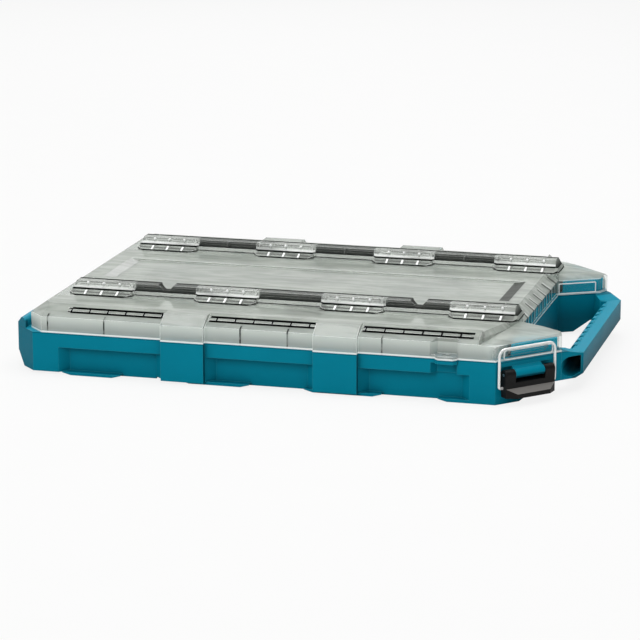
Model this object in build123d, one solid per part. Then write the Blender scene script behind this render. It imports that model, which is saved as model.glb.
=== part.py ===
from build123d import *
import os
from math import cos, pi, radians, sin, tan

# Saw blade storage case: a teal moulded tray with a carry handle at one end and a clear hinged lid.
# Millimetres. X runs from the hinge end to the handle, Y across the case (front is -Y), Z up.
# Origin: centre of the footprint, on the surface that the case stands on.

# ---- overall ----
case_length = 560.0         # hinge end to the handle's outer face
band_depth = 376.0          # across the two long band faces
foot_height = 2.4           # what the case stands on, below the tray
tray_height = 39.5          # tray's underside to the seam with the lid
skirt_height = 16.0         # upright part of the lid's skirt
deck_rise = 9.1             # bevel from the skirt to the lid's deck
rail_height = 11.5          # stacking rails above the deck

# ---- plan ----
tray_corner = 24.0          # corner cut at the hinge end of the tray
lid_end_gap = 17.2          # the lid stops short of the tray's hinge end
lid_corner = 16.0
corner_setback = 70.8       # where the latch corners start, back from the handle face
tip_setback = 18.0          # tower tips, back from the handle face
corner_angle = 47.0         # latch corner against X
notch_depth = 45.0          # finger space behind the handle, back from the tower tips
notch_angle = 30.0          # notch's side faces against X
tip_width = 12.0            # flat end of each tower tip, across the case
tip_slant = 5.0             # its inner end stands back by this much

# ---- posts and side recesses ----
post_width = 43.5
post_proud = 5.75
post_spacing = 153.5
post_shift = -23.5          # middle of the two posts, from the case's middle
band_height = 14.4
recess_depth = 8.8
recess_start = 50.5         # first recess, from the hinge end
recess_end = 25.0           # last recess, back from the latch corner
recess_slant = 9.0          # slanted end returns

# ---- tray ----
tray_wall = 12.0            # band face to the inside
tray_floor = 3.0
apron_gap = 0.4             # recess walls stop this far above the ground
foot_depth = 26.0
foot_slope = 9.0
foot_ledge = 0.6            # feet reach this far up past the tray's underside
foot_spans = ((54.0, 114.5), (176.0, 246.0), (301.0, 378.0))    # from the hinge end
last_foot_back = 56.0       # back from the latch corner
last_foot_on = 28.0         # along the latch corner
end_bevel_x = 9.0
end_bevel_height = 14.5
handle_bevel = 19.5         # underside slopes up over this length, from the last foot to the handle
tower_wall = 3.0
tower_block_height = 12.5   # tower blocks above the seam
tower_start = 11.0          # cavity's end wall, past the latch corner's start
tower_inner = 4.0           # tower blocks reach this far into the notch side
tower_gap = 1.2             # tower block to the inside of the lid

# ---- handle ----
handle_drop = 28.3          # handle's underside below the seam
handle_height = 24.0
grip_width = 20.0
handle_wall = 2.0
hollow_inner_round = 8.0    # the hollow's corners on the finger side
grip_top_chamfer = 7.5      # grip's top edge on the finger side
grip_low_chamfer = (6.2, 3.3)       # grip's outer edge underneath, along X and Z
arm_root = 6.0              # arms reach this far round on to the notch's side faces
arm_gap = 0.4               # arms' top below the seam
arm_slope = (6.0, 24.0)     # start and end of the slope down to the grip, from the tip along the corner
grip_inset = 11.2           # inner end of the grip, in from the arm's outer end
bump_count = 10
bump_radius = 3.2
bump_rise = 1.0             # bumps above the grip's top
bump_length = 10.0

# ---- hinge ----
hinge_pin_radius = 2.5
hinge_inset = 8.0           # pin axis from the hinge end
hinge_rise = 5.0            # pin axis above the seam
knuckle_radius = 4.6
knuckle_chamfer = 2.0
running_gap = 0.05          # radial, lid and levers on their pins
seat_gap = 0.01             # radial, pins in the part that holds them
knuckle_gap = 0.6
knuckle_web = 7.6
lid_knuckle_middle = 41.0
lid_knuckle_outer = 64.0
tray_knuckle_inner = 53.0
pin_cover = 5.0             # tray left over the outer end of the pin

# ---- lid ----
lid_wall = 2.6
deck_run = 22.0             # side bevel
post_run = 8.0              # bevel on the posts
end_run = 12.0              # bevel at the hinge end
corner_run = 17.0           # bevel over the cut corners
tower_rise = 4.4
tower_bevel = 5.0
tower_notch_bevel = (6.5, 5.2)      # bevel on the towers' notch side, inwards and down from the top
riser_run = 3.0
notch_run = 12.0
hip_setback = 16.7          # side bevel ends this far before the latch corner
hip_inset = 51.3            # inner corner of the deck at each tower, in from the band face
hip_shift = 0.4
facet_reach = 26.0          # the tower's front facet runs out this far along the latch corner
skirt_rib = 1.6
skirt_rib_depth = 7.0
skirt_ribs_end = (40.0, 98.4)               # from the hinge end
skirt_ribs_middle = (-19.1, 28.2, 121.9)    # from the middle of the two posts

# ---- ladder grooves in the side bevel ----
ladder_pitch = 18.65
ladder_start = 57.5         # from the hinge end
ladder_first = 3.8          # first cross groove, from the start
ladder_end = 9.5            # back from the hip
ladder_groove = 1.8
ladder_sink = 1.1
ladder_low, ladder_high = 0.46, 0.69     # heights of the two long grooves up the bevel
ladder_margin = 1.5         # from a post

# ---- stacking rails ----
rail_inset = 81.0           # rail's middle, in from the band face
rail_start = 40.0           # from the hinge end
rail_end = 62.0             # back from the handle face
rail_slope = 4.5
rail_segment = 64.0
rail_pitch = 129.0
rail_middle = -12.8         # middle of the centre narrow stretch
wide_base, wide_ridge, wide_top = 47.0, 19.5, 13.2
ridge_height = 5.0          # foot of the wide stretches, above the deck
wide_corner = 8.0           # cut corners of the wide stretches
narrow_base, narrow_top = 19.5, 12.0
flute_radius = 3.4
flute_drop = 3.9            # flute's middle below the rail's top
saddle_width = 16.0
saddle_flat = 5.4
saddle_depth = 6.0
rail_rib = 1.6
ribs_per_segment = 3

# ---- deck panel ----
panel_start = 48.0          # from the hinge end
panel_end = 87.5            # back from the handle face
panel_width = 88.0
panel_depth = 1.6
panel_slope = 11.5

# ---- latches ----
latch_middle = 34.0         # along the latch corner from its front end
lever_width = 57.0
lever_pivot_out = 5.5
lever_pivot_drop = 12.0     # lever's pin below the seam
lever_pin_radius = 1.5
cheek_width = 11.2
cheek_radius = 4.9
cheek_drop = 13.0           # from the lever's pin
lever_back = 1.2
lever_front = 10.0
bridge_drop = 5.9
bridge_slope = 2.0
lip_out = 16.0
lip_drop = 17.8
lip_height = 4.2
lip_taper = 9.5
boss_radius = 4.6
boss_gap = 0.5
flange_out, flange_height = 2.4, 5.0
wire_radius = 1.35
bail_side = 4.0             # leg centre lines, out from the lever's ends
bail_pivot_out = 4.0
bail_pivot_drop = 13.0      # bail's ends below the lever's pin
bail_height = 37.5
bail_corner = 7.0
bail_bend = 2.0
hook_depth = 5.0
hook_gap = 1.0
ledge_out = 6.0
ledge_end_gap = 9.5         # ledge's ends, in from the bail's leg centre lines
ledge_height = 6.0
ledge_lip = 1.6
ledge_gap = 0.2

# ---- padlock tabs ----
tab_setback = 47.7          # tab's middle, back from the latch corner
tab_width = 21.5
tab_proud = 5.5
tab_height = 4.0
tab_corner = 3.3
tab_hole_radius = 4.2
tab_rim = 1.5
scoop_width = 20.5          # hollow behind the tabs
scoop_depth = 7.0
scoop_slant = 6.0

# ---- inside ----
foam_gap = 1.8
foam_clear = 2.5
blade_x = -28.0
pocket_rim = 30.0           # foam and tray wall left beside the blade pocket
thumb_width = 60.0
thumb_reach = 12.0
thumb_height = 30.0
arbor_flange_radius = 32.0
arbor_flange = 4.0
arbor_radius = 12.6
arbor_height = 25.4         # above the tray's floor
arbor_screws = 4
screw_circle = 23.0
screw_radius = 2.0
screw_head_radius = 3.8
screw_head = 2.2
screw_bite = 2.4
stud_radius = 5.0
stud_gap = 1.0              # stud's end to the knob's cap
arbor_gap = 0.4             # arbor's top inside the knob
divider_count = 4
divider_rim = 28.0          # divider's edge, in from the pocket's wall
divider_thickness = 1.6
divider_pitch = 4.6
divider_hub_radius = 18.0
divider_bore_gap = 0.1
washer_radius = 20.0
washer_thickness = 2.0
knob_radius = 21.0
knob_height = 15.0
knob_cap = 2.5
knob_lobes = 6
knob_flute = 6.0
knob_flange = 3.0

# ---- modelling ----
over = 1.0                  # cutting tools and joining stubs run this far past a face
trim_reach = 3 * case_length            # trimming blocks cover the whole case
trim_height = trim_reach / 8

# ---- derived ----
half = band_depth / 2
rail_offset = half - rail_inset
pocket_radius = half - pocket_rim
divider_radius = pocket_radius - divider_rim
bail_width = lever_width + 2 * bail_side
ledge_length = bail_width - 2 * ledge_end_gap
hinge_end = -case_length / 2
handle_face = case_length / 2
seam_z = foot_height + tray_height
rim_z = seam_z + skirt_height
deck_z = rim_z + deck_rise
rail_z = deck_z + rail_height
tower_z = rim_z + tower_rise
corner_x = handle_face - corner_setback
tab_x = corner_x - tab_setback
tip_x = handle_face - tip_setback
tip_y = half - (tip_x - corner_x) * tan(radians(corner_angle))
flank_x = tip_x - tip_slant
flank_y = tip_y - tip_width
notch_x = tip_x - notch_depth
notch_half = flank_y - (flank_x - notch_x) * tan(radians(notch_angle))
lid_end = hinge_end + lid_end_gap
hip_x = corner_x - hip_setback
hinge_x = hinge_end + hinge_inset
hinge_z = seam_z + hinge_rise
floor_z = foot_height + tray_floor
band_bottom = seam_z - band_height
tower_block_top = seam_z + tower_block_height
lever_pivot_z = seam_z - lever_pivot_drop
bail_pivot_z = lever_pivot_z - bail_pivot_drop
cheek_bottom = lever_pivot_z - cheek_drop
post_places = (post_shift - post_spacing / 2, post_shift + post_spacing / 2)
cavity_start = lid_end + lid_wall
cavity_end = corner_x + tower_start - tower_wall
handle_z = seam_z - handle_drop
foam_top = deck_z - panel_depth - lid_wall - foam_clear
flange_z = floor_z + arbor_flange
arbor_top = floor_z + arbor_height
dividers_top = flange_z + divider_count * divider_pitch
knob_z = dividers_top + washer_thickness
last_foot_end = corner_x + last_foot_on * cos(radians(corner_angle))
pin_end = -half + tray_corner - hinge_inset + pin_cover
corner_length = (tip_x - corner_x) / cos(radians(corner_angle))     # latch corner's start to the tip
along = Vector(cos(radians(corner_angle)), sin(radians(corner_angle)), 0)
outward = Vector(sin(radians(corner_angle)), -cos(radians(corner_angle)), 0)


def box(x0, x1, y0, y1, z0, z1):
    """A box between two corners."""
    return Pos((x0 + x1) / 2, (y0 + y1) / 2, (z0 + z1) / 2) * Box(abs(x1 - x0), abs(y1 - y0), abs(z1 - z0))


def outline_face(points, inset=0.0):
    """A flat face on a closed outline, or the same face with every edge moved inwards."""
    face = make_face(Polyline(*points, close=True))
    return offset(face, -inset, kind=Kind.INTERSECTION) if inset else face


def raise_plan(face, z0, z1):
    """A plan face as an upright prism."""
    return Pos(0, 0, z0) * extrude(face, z1 - z0, dir=(0, 0, 1))


def bar_x(points, x0, x1, inset=0.0):
    """A bar along X with a (y, z) section."""
    plane = Plane(origin=(x0, 0, 0), x_dir=(0, 1, 0), z_dir=(1, 0, 0))
    return extrude(plane * outline_face(points, inset), x1 - x0, dir=(1, 0, 0))


def bar_y(points, y0, y1):
    """A bar along Y with an (x, z) section."""
    plane = Plane(origin=(0, y0, 0), x_dir=(1, 0, 0), z_dir=(0, -1, 0))
    return extrude(plane * outline_face(points), y1 - y0, dir=(0, 1, 0))


def rod(start, end, radius):
    """A round rod between two points."""
    start, end = Vector(*start), Vector(*end)
    plane = Plane(origin=start, z_dir=(end - start).normalized())
    return plane * Cylinder(radius, (end - start).length, align=(Align.CENTER, Align.CENTER, Align.MIN))


def upright(radius, z0, z1):
    """An upright cylinder on the blade axis."""
    return Pos(blade_x, 0, z0) * Cylinder(radius, z1 - z0, align=(Align.CENTER, Align.CENTER, Align.MIN))


def joined(solids):
    """One union of several solids."""
    first, *others = solids
    return first + others if others else first


def other_side(solid):
    """The mirror image across the case's middle."""
    return mirror(solid, about=Plane.XZ)


def both_sides(solid):
    """A front solid together with its mirror image."""
    return solid + other_side(solid)


def trim(solid, p, q, r, inset=0.0, region=None):
    """Cut away what lies above the plane through three points, moved inwards by inset."""
    p, q, r = Vector(*p), Vector(*q), Vector(*r)
    normal = (q - p).cross(r - p).normalized()
    if normal.Z < 0:
        normal = normal * -1
    plane = Plane(origin=p - normal * inset, x_dir=q - p, z_dir=normal)
    tool = plane * Box(trim_reach, trim_reach, trim_height, align=(Align.CENTER, Align.CENTER, Align.MIN))
    if region is not None:
        tool = tool & region
    return solid - tool


def plan(end_x, end_corner, inset=0.0):
    """The case's outline: cut corners, latch corners, tower tips and the handle notch."""
    front = [
        (end_x, -(half - end_corner)),
        (end_x + end_corner, -half),
        (corner_x, -half),
        (tip_x, -tip_y),
        (flank_x, -flank_y),
        (notch_x, -notch_half),
    ]
    rear = [(x, -y) for x, y in reversed(front)]
    return outline_face(front + rear, inset)


def corner_point(s, out, z):
    """A point by its distance along the front latch corner, its distance out and its height."""
    base = Vector(corner_x, -half, z) + along * s + outward * out
    return (base.X, base.Y, base.Z)


def corner_bar(points, s0, s1):
    """A bar along the front latch corner with an (out, z) section."""
    plane = Plane(origin=corner_point(s0, 0, 0), x_dir=outward, z_dir=outward.cross(Vector(0, 0, 1)))
    return extrude(plane * outline_face(points), s1 - s0, dir=along)


def corner_rod(s0, s1, out, z, radius):
    """A round rod along the front latch corner."""
    return rod(corner_point(s0, out, z), corner_point(s1, out, z), radius)


def stretches(start, end, gap):
    """The stretches of a front side between two ends and the posts, gap clear of each post."""
    edges = [start]
    for x in post_places:
        edges += [x - post_width / 2 - gap, x + post_width / 2 + gap]
    edges.append(end)
    return list(zip(edges[0::2], edges[1::2]))


# ---- tray ----

def recess_places():
    """The start and end of each side recess, at the band face."""
    return stretches(hinge_end + recess_start, corner_x - recess_end, 0)


def recess_cut(x0, x1):
    """A front side recess below the band, with slanted ends."""
    deep = -half + recess_depth
    outline = [(x0, -half - over), (x0, -half), (x0 + recess_slant, deep),
               (x1 - recess_slant, deep), (x1, -half), (x1, -half - over)]
    return raise_plan(outline_face(outline), foot_height - over, band_bottom)


def apron(x0, x1):
    """The wall of a front recess, carried on down nearly to the ground."""
    y0, y1 = -half + recess_depth, -half + tray_wall
    return box(x0 + recess_slant, x1 - recess_slant, y0, y1, apron_gap, floor_z)


def foot(x0, x1, depth):
    """A low front foot with sloped ends."""
    top = foot_height + foot_ledge
    section = [(x0, foot_height), (x0 + foot_slope, 0), (x1 - foot_slope, 0), (x1, foot_height),
               (x1, top), (x0, top)]
    return bar_y(section, -half, -half + depth)


def end_slopes():
    """What is cut from the underside: a slope at the hinge end and one up to the handle's underside."""
    end_z = foot_height + end_bevel_height
    hinge_slope = [(hinge_end - over, end_z), (hinge_end, end_z), (hinge_end + end_bevel_x, foot_height),
                   (hinge_end + end_bevel_x, -over), (hinge_end - over, -over)]
    start = last_foot_end
    handle_slope = [(start, -over), (start, 0), (start + handle_bevel, handle_z), (handle_face, handle_z),
                    (handle_face, -over)]
    return bar_y(hinge_slope, -half, half) + bar_y(handle_slope, -half, half)


def feet():
    """Front feet: one near the hinge, one at each post and one round the start of the latch corner."""
    pads = [foot(hinge_end + x0, hinge_end + x1, foot_depth) for x0, x1 in foot_spans]
    depth = foot_depth + last_foot_on * sin(radians(corner_angle))
    last = foot(corner_x - last_foot_back, last_foot_end + foot_slope, depth)
    pads.append(last & raise_plan(plan(hinge_end, tray_corner), 0, seam_z))
    return joined(pads)


def tray_post(x):
    """A front post of the tray, proud of the band."""
    x0, x1 = x - post_width / 2, x + post_width / 2
    return box(x0, x1, -half - post_proud, -half + tray_wall, foot_height, seam_z)


def tower_plan(inset):
    """Plan of the block that stands up inside the front tower of the lid, inset from the lid's outline."""
    region = box(cavity_end + tower_wall, handle_face, -half, -notch_half + tower_inner, 0, over)
    return (raise_plan(plan(lid_end, lid_corner, inset), 0, over) & region).faces().sort_by(Axis.Z)[-1]


def knuckle_places():
    """Tray and lid knuckles along Y, each as its start and end, on the front half."""
    lid_middle = (-lid_knuckle_middle / 2, lid_knuckle_middle / 2)
    tray_inner = (lid_middle[0] - knuckle_gap - tray_knuckle_inner, lid_middle[0] - knuckle_gap)
    lid_outer = (tray_inner[0] - knuckle_gap - lid_knuckle_outer, tray_inner[0] - knuckle_gap)
    tray_outer = (-half, lid_outer[0] - knuckle_gap)
    return tray_outer, lid_outer, tray_inner, lid_middle


def tray_knuckle(y0, y1):
    """A tray knuckle: a housing from the tray's end up round the hinge pin."""
    top = hinge_z + knuckle_radius
    low = seam_z - over
    shoulder = knuckle_radius - knuckle_chamfer
    section = [(hinge_end, low), (hinge_end, hinge_z - knuckle_chamfer), (hinge_x - shoulder, top - over),
               (hinge_x, top), (hinge_x, hinge_z), (hinge_x + knuckle_radius, hinge_z),
               (hinge_x + knuckle_radius, low)]
    return bar_y(section, y0, y1) + rod((hinge_x, y0, hinge_z), (hinge_x, y1, hinge_z), knuckle_radius)


def scoop_face(grow=0.0):
    """Plan of the hollow behind the front padlock tabs, slanted on the hinge side."""
    x0, x1 = tab_x - scoop_width / 2, tab_x + scoop_width / 2
    outline = [(x0 - scoop_slant, -half - over), (x0, -half + scoop_depth),
               (x1, -half + scoop_depth), (x1, -half - over)]
    return outline_face(outline, -grow)


def padlock_tab(z0, z1):
    """The front padlock tab, with its outer corners cut."""
    x0, x1 = tab_x - tab_width / 2, tab_x + tab_width / 2
    outer, inner = -half - tab_proud, -half + scoop_depth + over
    outline = [(x0, inner), (x0, outer + tab_corner), (x0 + tab_corner, outer),
               (x1 - tab_corner, outer), (x1, outer + tab_corner), (x1, inner)]
    return raise_plan(outline_face(outline), z0, z1)


def tab_hole():
    """The shackle hole through the front tabs."""
    y = -half - tab_proud + tab_rim + tab_hole_radius
    return rod((tab_x, y, seam_z - tab_height - over), (tab_x, y, seam_z + tab_height + over), tab_hole_radius)


def latch_boss():
    """The lug on the front latch corner that carries the lever's pin, under a narrow flange."""
    half_boss = lever_width / 2 - cheek_width - boss_gap
    s0, s1 = latch_middle - half_boss, latch_middle + half_boss
    top = seam_z - flange_height
    low = lever_pivot_z - boss_radius
    section = [(-over, low - over), (0, low - over), (lever_pivot_out, low),
               (lever_pivot_out, lever_pivot_z + boss_radius), (flange_out, top), (-over, top)]
    half_flange = lever_width / 2 + over
    flange = corner_bar([(-over, top), (flange_out, top), (flange_out, seam_z), (-over, seam_z)],
                        latch_middle - half_flange, latch_middle + half_flange)
    nose = corner_rod(s0, s1, lever_pivot_out, lever_pivot_z, boss_radius)
    return corner_bar(section, s0, s1) + nose + flange


def lever_pin_solid(radius):
    """The front lever's pin, through both cheeks and the boss."""
    s0, s1 = latch_middle - lever_width / 2, latch_middle + lever_width / 2
    return corner_rod(s0, s1, lever_pivot_out, lever_pivot_z, radius)


def screw_places():
    """Screw centres round the arbor's flange."""
    turn = 2 * pi / arbor_screws
    return [(blade_x + screw_circle * cos(turn * (i + 0.5)), screw_circle * sin(turn * (i + 0.5)))
            for i in range(arbor_screws)]


def screw_shanks(radius, z0, z1):
    """The arbor's screw shanks, or the holes for them."""
    return joined([rod((x, y, z0), (x, y, z1), radius) for x, y in screw_places()])


def pin_hole(radius):
    """The hinge axis through the knuckles, blind at both ends."""
    return both_sides(rod((hinge_x, pin_end, hinge_z), (hinge_x, 0, hinge_z), radius))


def base_tray():
    """The moulded tray with its posts, feet, tower blocks, knuckles, bosses and padlock tabs."""
    outline = plan(hinge_end, tray_corner)
    body = raise_plan(outline, foot_height, seam_z)
    body -= both_sides(joined([recess_cut(*place) for place in recess_places()]))
    body -= both_sides(raise_plan(scoop_face(), band_bottom - over, seam_z - tab_height))
    body += both_sides(joined([tray_post(x) for x in post_places]))
    body += both_sides(joined([apron(*place) for place in recess_places()]) + feet())
    body -= end_slopes()
    clear = lid_wall + tower_gap
    body += both_sides(raise_plan(tower_plan(clear), seam_z - over, tower_block_top))
    body -= both_sides(raise_plan(tower_plan(clear + tower_wall), -over, tower_block_top - tower_wall))
    cavity = raise_plan(plan(hinge_end, tray_corner, tray_wall), floor_z, seam_z + over)
    body -= cavity & box(cavity_start, cavity_end, -half, half, floor_z, seam_z + over)
    tray_outer, _, tray_inner, _ = knuckle_places()
    shell = raise_plan(outline, 0, deck_z)
    body += both_sides((tray_knuckle(*tray_outer) & shell) + tray_knuckle(*tray_inner))
    body += both_sides(latch_boss() + padlock_tab(seam_z - tab_height, seam_z))
    body -= both_sides(tab_hole() + lever_pin_solid(lever_pin_radius + seat_gap))
    body -= pin_hole(hinge_pin_radius + seat_gap)
    return body - screw_shanks(screw_radius + seat_gap, floor_z - screw_bite, floor_z + over)


# ---- handle ----

def grip_corners():
    """Plan points of the front arm and grip: outer and inner end of the grip, and the arm's root."""
    arm_y = tip_y - (handle_face - tip_x) * tan(radians(corner_angle))
    back, side = cos(radians(notch_angle)), sin(radians(notch_angle))
    root = (flank_x - arm_root * back, -(flank_y - arm_root * side))
    return (handle_face, -arm_y), (handle_face - grip_width, -(arm_y - grip_inset)), root


def handle_arm():
    """The front arm, from the tower tip to the grip, with a top that slopes down to the grip."""
    outer, inner, root = grip_corners()
    outline = outline_face([(tip_x, -tip_y), outer, inner, root, (flank_x, -flank_y)])
    start, end = [corner_length + s for s in arm_slope]
    high, low = corner_point(start, 0, seam_z - arm_gap), corner_point(end, 0, handle_z + handle_height)
    return trim(raise_plan(outline, handle_z, seam_z - arm_gap), high, corner_point(start, over, high[2]), low)


def handle_hollow():
    """The hollow through the grip and both arms, rounder on the finger side."""
    x0, x1 = handle_face - grip_width + handle_wall, handle_face - handle_wall
    z0, z1 = handle_z + handle_wall, handle_z + handle_height - handle_wall
    hollow = box(x0, x1, -half, half, z0, z1)
    hollow = fillet(hollow.edges().filter_by(Axis.Y).group_by(Axis.X)[0], hollow_inner_round)
    low_run, low_rise = grip_low_chamfer
    corner = [(x1 - low_run, z0), (x1, z0 + low_rise), (x1, z0 - over), (x1 - low_run, z0 - over)]
    return hollow - bar_y(corner, -half, half)


def carry_handle():
    """The hollow grip and its two short arms, flush with the latch corners."""
    outer, inner, _ = grip_corners()
    top = handle_z + handle_height
    grip = raise_plan(outline_face([outer, (handle_face, 0), (inner[0], 0), inner]), handle_z, top)
    body = both_sides(grip + handle_arm())
    run, rise = grip_low_chamfer
    low_edge = [(handle_face - run, handle_z), (handle_face + over, handle_z + rise * (1 + over / run)),
                (handle_face + over, handle_z - over), (handle_face - run, handle_z - over)]
    top_edge = [(inner[0], top - grip_top_chamfer), (inner[0] + grip_top_chamfer, top),
                (inner[0] + grip_top_chamfer, top + over), (inner[0] - over, top + over),
                (inner[0] - over, top - grip_top_chamfer)]
    body -= bar_y(low_edge, -half, half) + bar_y(top_edge, inner[1], -inner[1])
    body -= handle_hollow()
    pitch = -2 * inner[1] / (bump_count + 1)
    for i in range(bump_count):
        y = inner[1] + pitch * (i + 1)
        x, z = inner[0] + grip_top_chamfer, top + bump_rise - bump_radius
        body += rod((x, y - bump_length / 2, z), (x, y + bump_length / 2, z), bump_radius)
    return body


# ---- lid ----

def knee_point(z):
    """Inner corner of the deck at the front tower."""
    return (corner_x + hip_shift, -half + hip_inset, z)


def towers(low, inset):
    """The lid's outline at tower height, with the facets over the latch corners."""
    body = raise_plan(plan(lid_end, lid_corner, inset), low, tower_z - inset)
    region = box(hip_x - lid_wall * 2, handle_face, -half - over, 0, seam_z, deck_z + over)
    facet_end = corner_point(facet_reach, 0, rim_z)
    body = trim(body, (hip_x, -half, rim_z), facet_end, knee_point(tower_z), inset, region)
    bevel_end = corner_point(facet_reach, -tower_bevel, tower_z)
    body = trim(body, corner_point(0, 0, rim_z), facet_end, bevel_end, inset, region)
    run, drop = tower_notch_bevel
    low_a, low_b = (notch_x, -notch_half, tower_z - drop), (flank_x, -flank_y, tower_z - drop)
    side, back = run * sin(radians(notch_angle)), run * cos(radians(notch_angle))
    body = trim(body, low_a, low_b, (notch_x - side, -notch_half - back, tower_z), inset, region)
    return body & other_side(body)


def deck(low, inset):
    """The raised deck, with risers where it meets the towers."""
    knee = knee_point(tower_z)
    front = [(lid_end, -half), (hip_x, -half), knee[:2], (notch_x, -notch_half)]
    rear = [(x, -y) for x, y in reversed(front)]
    body = raise_plan(outline_face(front + rear), low, deck_z - inset)
    body &= raise_plan(plan(lid_end, lid_corner, inset), low, deck_z)
    outer_riser = (hip_x - riser_run, -half + riser_run, deck_z)
    body = trim(body, (hip_x, -half, tower_z), knee, outer_riser, inset)
    inner_riser = (notch_x - riser_run, -notch_half, deck_z)
    body = trim(body, knee, (notch_x, -notch_half, tower_z), inner_riser, inset)
    return body & other_side(body)


def lid_shape(inset=0.0):
    """The lid's closed outer form, or the same form with every face moved inwards."""
    low = seam_z - (over if inset else 0)
    body = towers(low, inset) + deck(low, inset)
    top = deck_z + over
    for side in (-1, 1):
        region = box(hinge_end, hip_x, 0, side * (half + over), seam_z, top)
        edge = side * half
        bevel_end = (0, edge - side * deck_run, deck_z)
        body = trim(body, (0, edge, rim_z), (1, edge, rim_z), bevel_end, inset, region)
        edge_a = (lid_end, side * (half - lid_corner), rim_z)
        edge_b = (lid_end + lid_corner, side * half, rim_z)
        reach = (lid_corner + corner_run * 2 ** 0.5) / 2
        inner = (lid_end + reach, side * (half - reach), deck_z)
        body = trim(body, edge_a, edge_b, inner, inset)
    body = trim(body, (lid_end, 0, rim_z), (lid_end, 1, rim_z), (lid_end + end_run, 0, deck_z), inset)
    region = box(0, handle_face, -notch_half, notch_half, seam_z, top)
    return trim(body, (notch_x, 0, rim_z), (notch_x, 1, rim_z), (notch_x - notch_run, 0, deck_z), inset, region)


def lid_post(x, inset=0.0):
    """A front post of the lid, in line with the tray's post, or its hollow."""
    grow = inset + over if inset else 0
    low, root = seam_z - grow, -half + deck_run + lid_wall + grow
    outer = -half - post_proud
    section = [(outer, low), (outer, rim_z), (-half + post_run, deck_z), (root, deck_z), (root, low)]
    half_width = post_width / 2 - inset
    return bar_x(section, x - half_width, x + half_width, inset)


def groove(low, high, x0, x1):
    """A groove sunk square into the front side bevel, between two heights up the bevel."""
    slope = (deck_run ** 2 + deck_rise ** 2) ** 0.5
    up_y, up_z = deck_run / slope, deck_rise / slope
    start, end = low * slope - ladder_groove / 2, high * slope + ladder_groove / 2
    corners = [(start, -ladder_sink), (end, -ladder_sink), (end, over), (start, over)]
    section = [(-half + u * up_y - v * up_z, rim_z + u * up_z + v * up_y) for u, v in corners]
    return bar_x(section, x0, x1)


def ladder_grooves():
    """Two long grooves in the front side bevel, cross grooves between them, broken at the posts."""
    first = hinge_end + ladder_start
    grooves = []
    for x0, x1 in stretches(first, hip_x - ladder_end, ladder_margin):
        grooves += [groove(ladder_low, ladder_low, x0, x1), groove(ladder_high, ladder_high, x0, x1)]
        steps = range(int((x0 - first) / ladder_pitch), int((x1 - first) / ladder_pitch) + 1)
        places = [first + ladder_first + step * ladder_pitch for step in steps]
        grooves += [groove(ladder_low, ladder_high, x - ladder_groove / 2, x + ladder_groove / 2)
                    for x in places if x0 + ladder_groove < x < x1 - ladder_groove]
    return joined(grooves)


def rail_section(widths, low):
    """The (y, z) section of a front stacking rail, from its half widths and heights above low."""
    right = [(-rail_offset + width / 2, z) for width, z in widths]
    left = [(-rail_offset - width / 2, z) for width, z in reversed(widths)]
    base = widths[0][0] / 2
    return [(-rail_offset - base, low), (-rail_offset + base, low)] + right + left


def narrow_section():
    """The section of the narrow stretches: a steep sided bar."""
    return rail_section([(narrow_base, deck_z), (narrow_top, rail_z)], deck_z - over)


def wide_section(low):
    """The section of the wide stretches: a steep sided bar on a broad sloping foot."""
    widths = [(wide_base, deck_z), (wide_ridge, deck_z + ridge_height), (wide_top, rail_z)]
    return rail_section(widths, low)


def narrow_places():
    """The start and end of each narrow stretch of a rail."""
    middles = [rail_middle + step * rail_pitch for step in (-1, 0, 1)]
    return [(x - rail_segment / 2, x + rail_segment / 2) for x in middles]


def wide_places():
    """The start and end of each wide stretch of a rail."""
    edges = [hinge_end + rail_start]
    for place in narrow_places():
        edges += place
    edges.append(handle_face - rail_end)
    return list(zip(edges[0::2], edges[1::2]))


def wide_stretch(x0, x1, inset=0.0):
    """One wide stretch of the front rail with sloped ends, or its hollow."""
    low = deck_z - 2 * inset - over
    body = bar_x(wide_section(low), x0 + inset, x1 - inset, inset)
    near, far = -rail_offset - wide_base / 2, -rail_offset + wide_base / 2
    cut = wide_corner
    corners = [(x0, near + cut), (x0 + cut, near), (x1 - cut, near), (x1, near + cut),
               (x1, far - cut), (x1 - cut, far), (x0 + cut, far), (x0, far - cut)]
    body &= raise_plan(outline_face(corners, inset), low, rail_z)
    for x, run in ((x0 + inset, rail_slope), (x1 - inset, -rail_slope)):
        body = trim(body, (x, 0, deck_z), (x, 1, deck_z), (x + run, 0, rail_z))
    return body


def stacking_rail():
    """The front stacking rail: wide stretches with narrow fluted ones between."""
    x0, x1 = wide_places()[0][0], wide_places()[-1][1]
    body = bar_x(narrow_section(), x0 + 2 * rail_slope, x1 - 2 * rail_slope)
    z = rail_z - flute_drop
    face = narrow_top / 2 + (narrow_base - narrow_top) / 2 * flute_drop / rail_height
    for start, end in narrow_places():
        for side in (-1, 1):
            y = -rail_offset + side * face
            body -= rod((start, y, z), (end, y, z), flute_radius)
    return body + [wide_stretch(*place) for place in wide_places()]


def saddles():
    """The two flat-bottomed notches across the front rail."""
    notches = []
    for start, end in narrow_places()[0::2]:
        x = (start + end) / 2
        wide, flat, low = saddle_width / 2, saddle_flat / 2, rail_z - saddle_depth
        section = [(x - wide, rail_z + over), (x - wide, rail_z), (x - flat, low),
                   (x + flat, low), (x + wide, rail_z), (x + wide, rail_z + over)]
        notches.append(bar_y(section, -rail_offset - wide_base, -rail_offset + wide_base))
    return joined(notches)


def rail_ticks():
    """Thin cross ribs at the middles of the narrow stretches."""
    middles = [(start + end) / 2 for start, end in narrow_places()]
    return joined([bar_x(narrow_section(), x - rail_rib / 2, x + rail_rib / 2) for x in middles])


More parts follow.
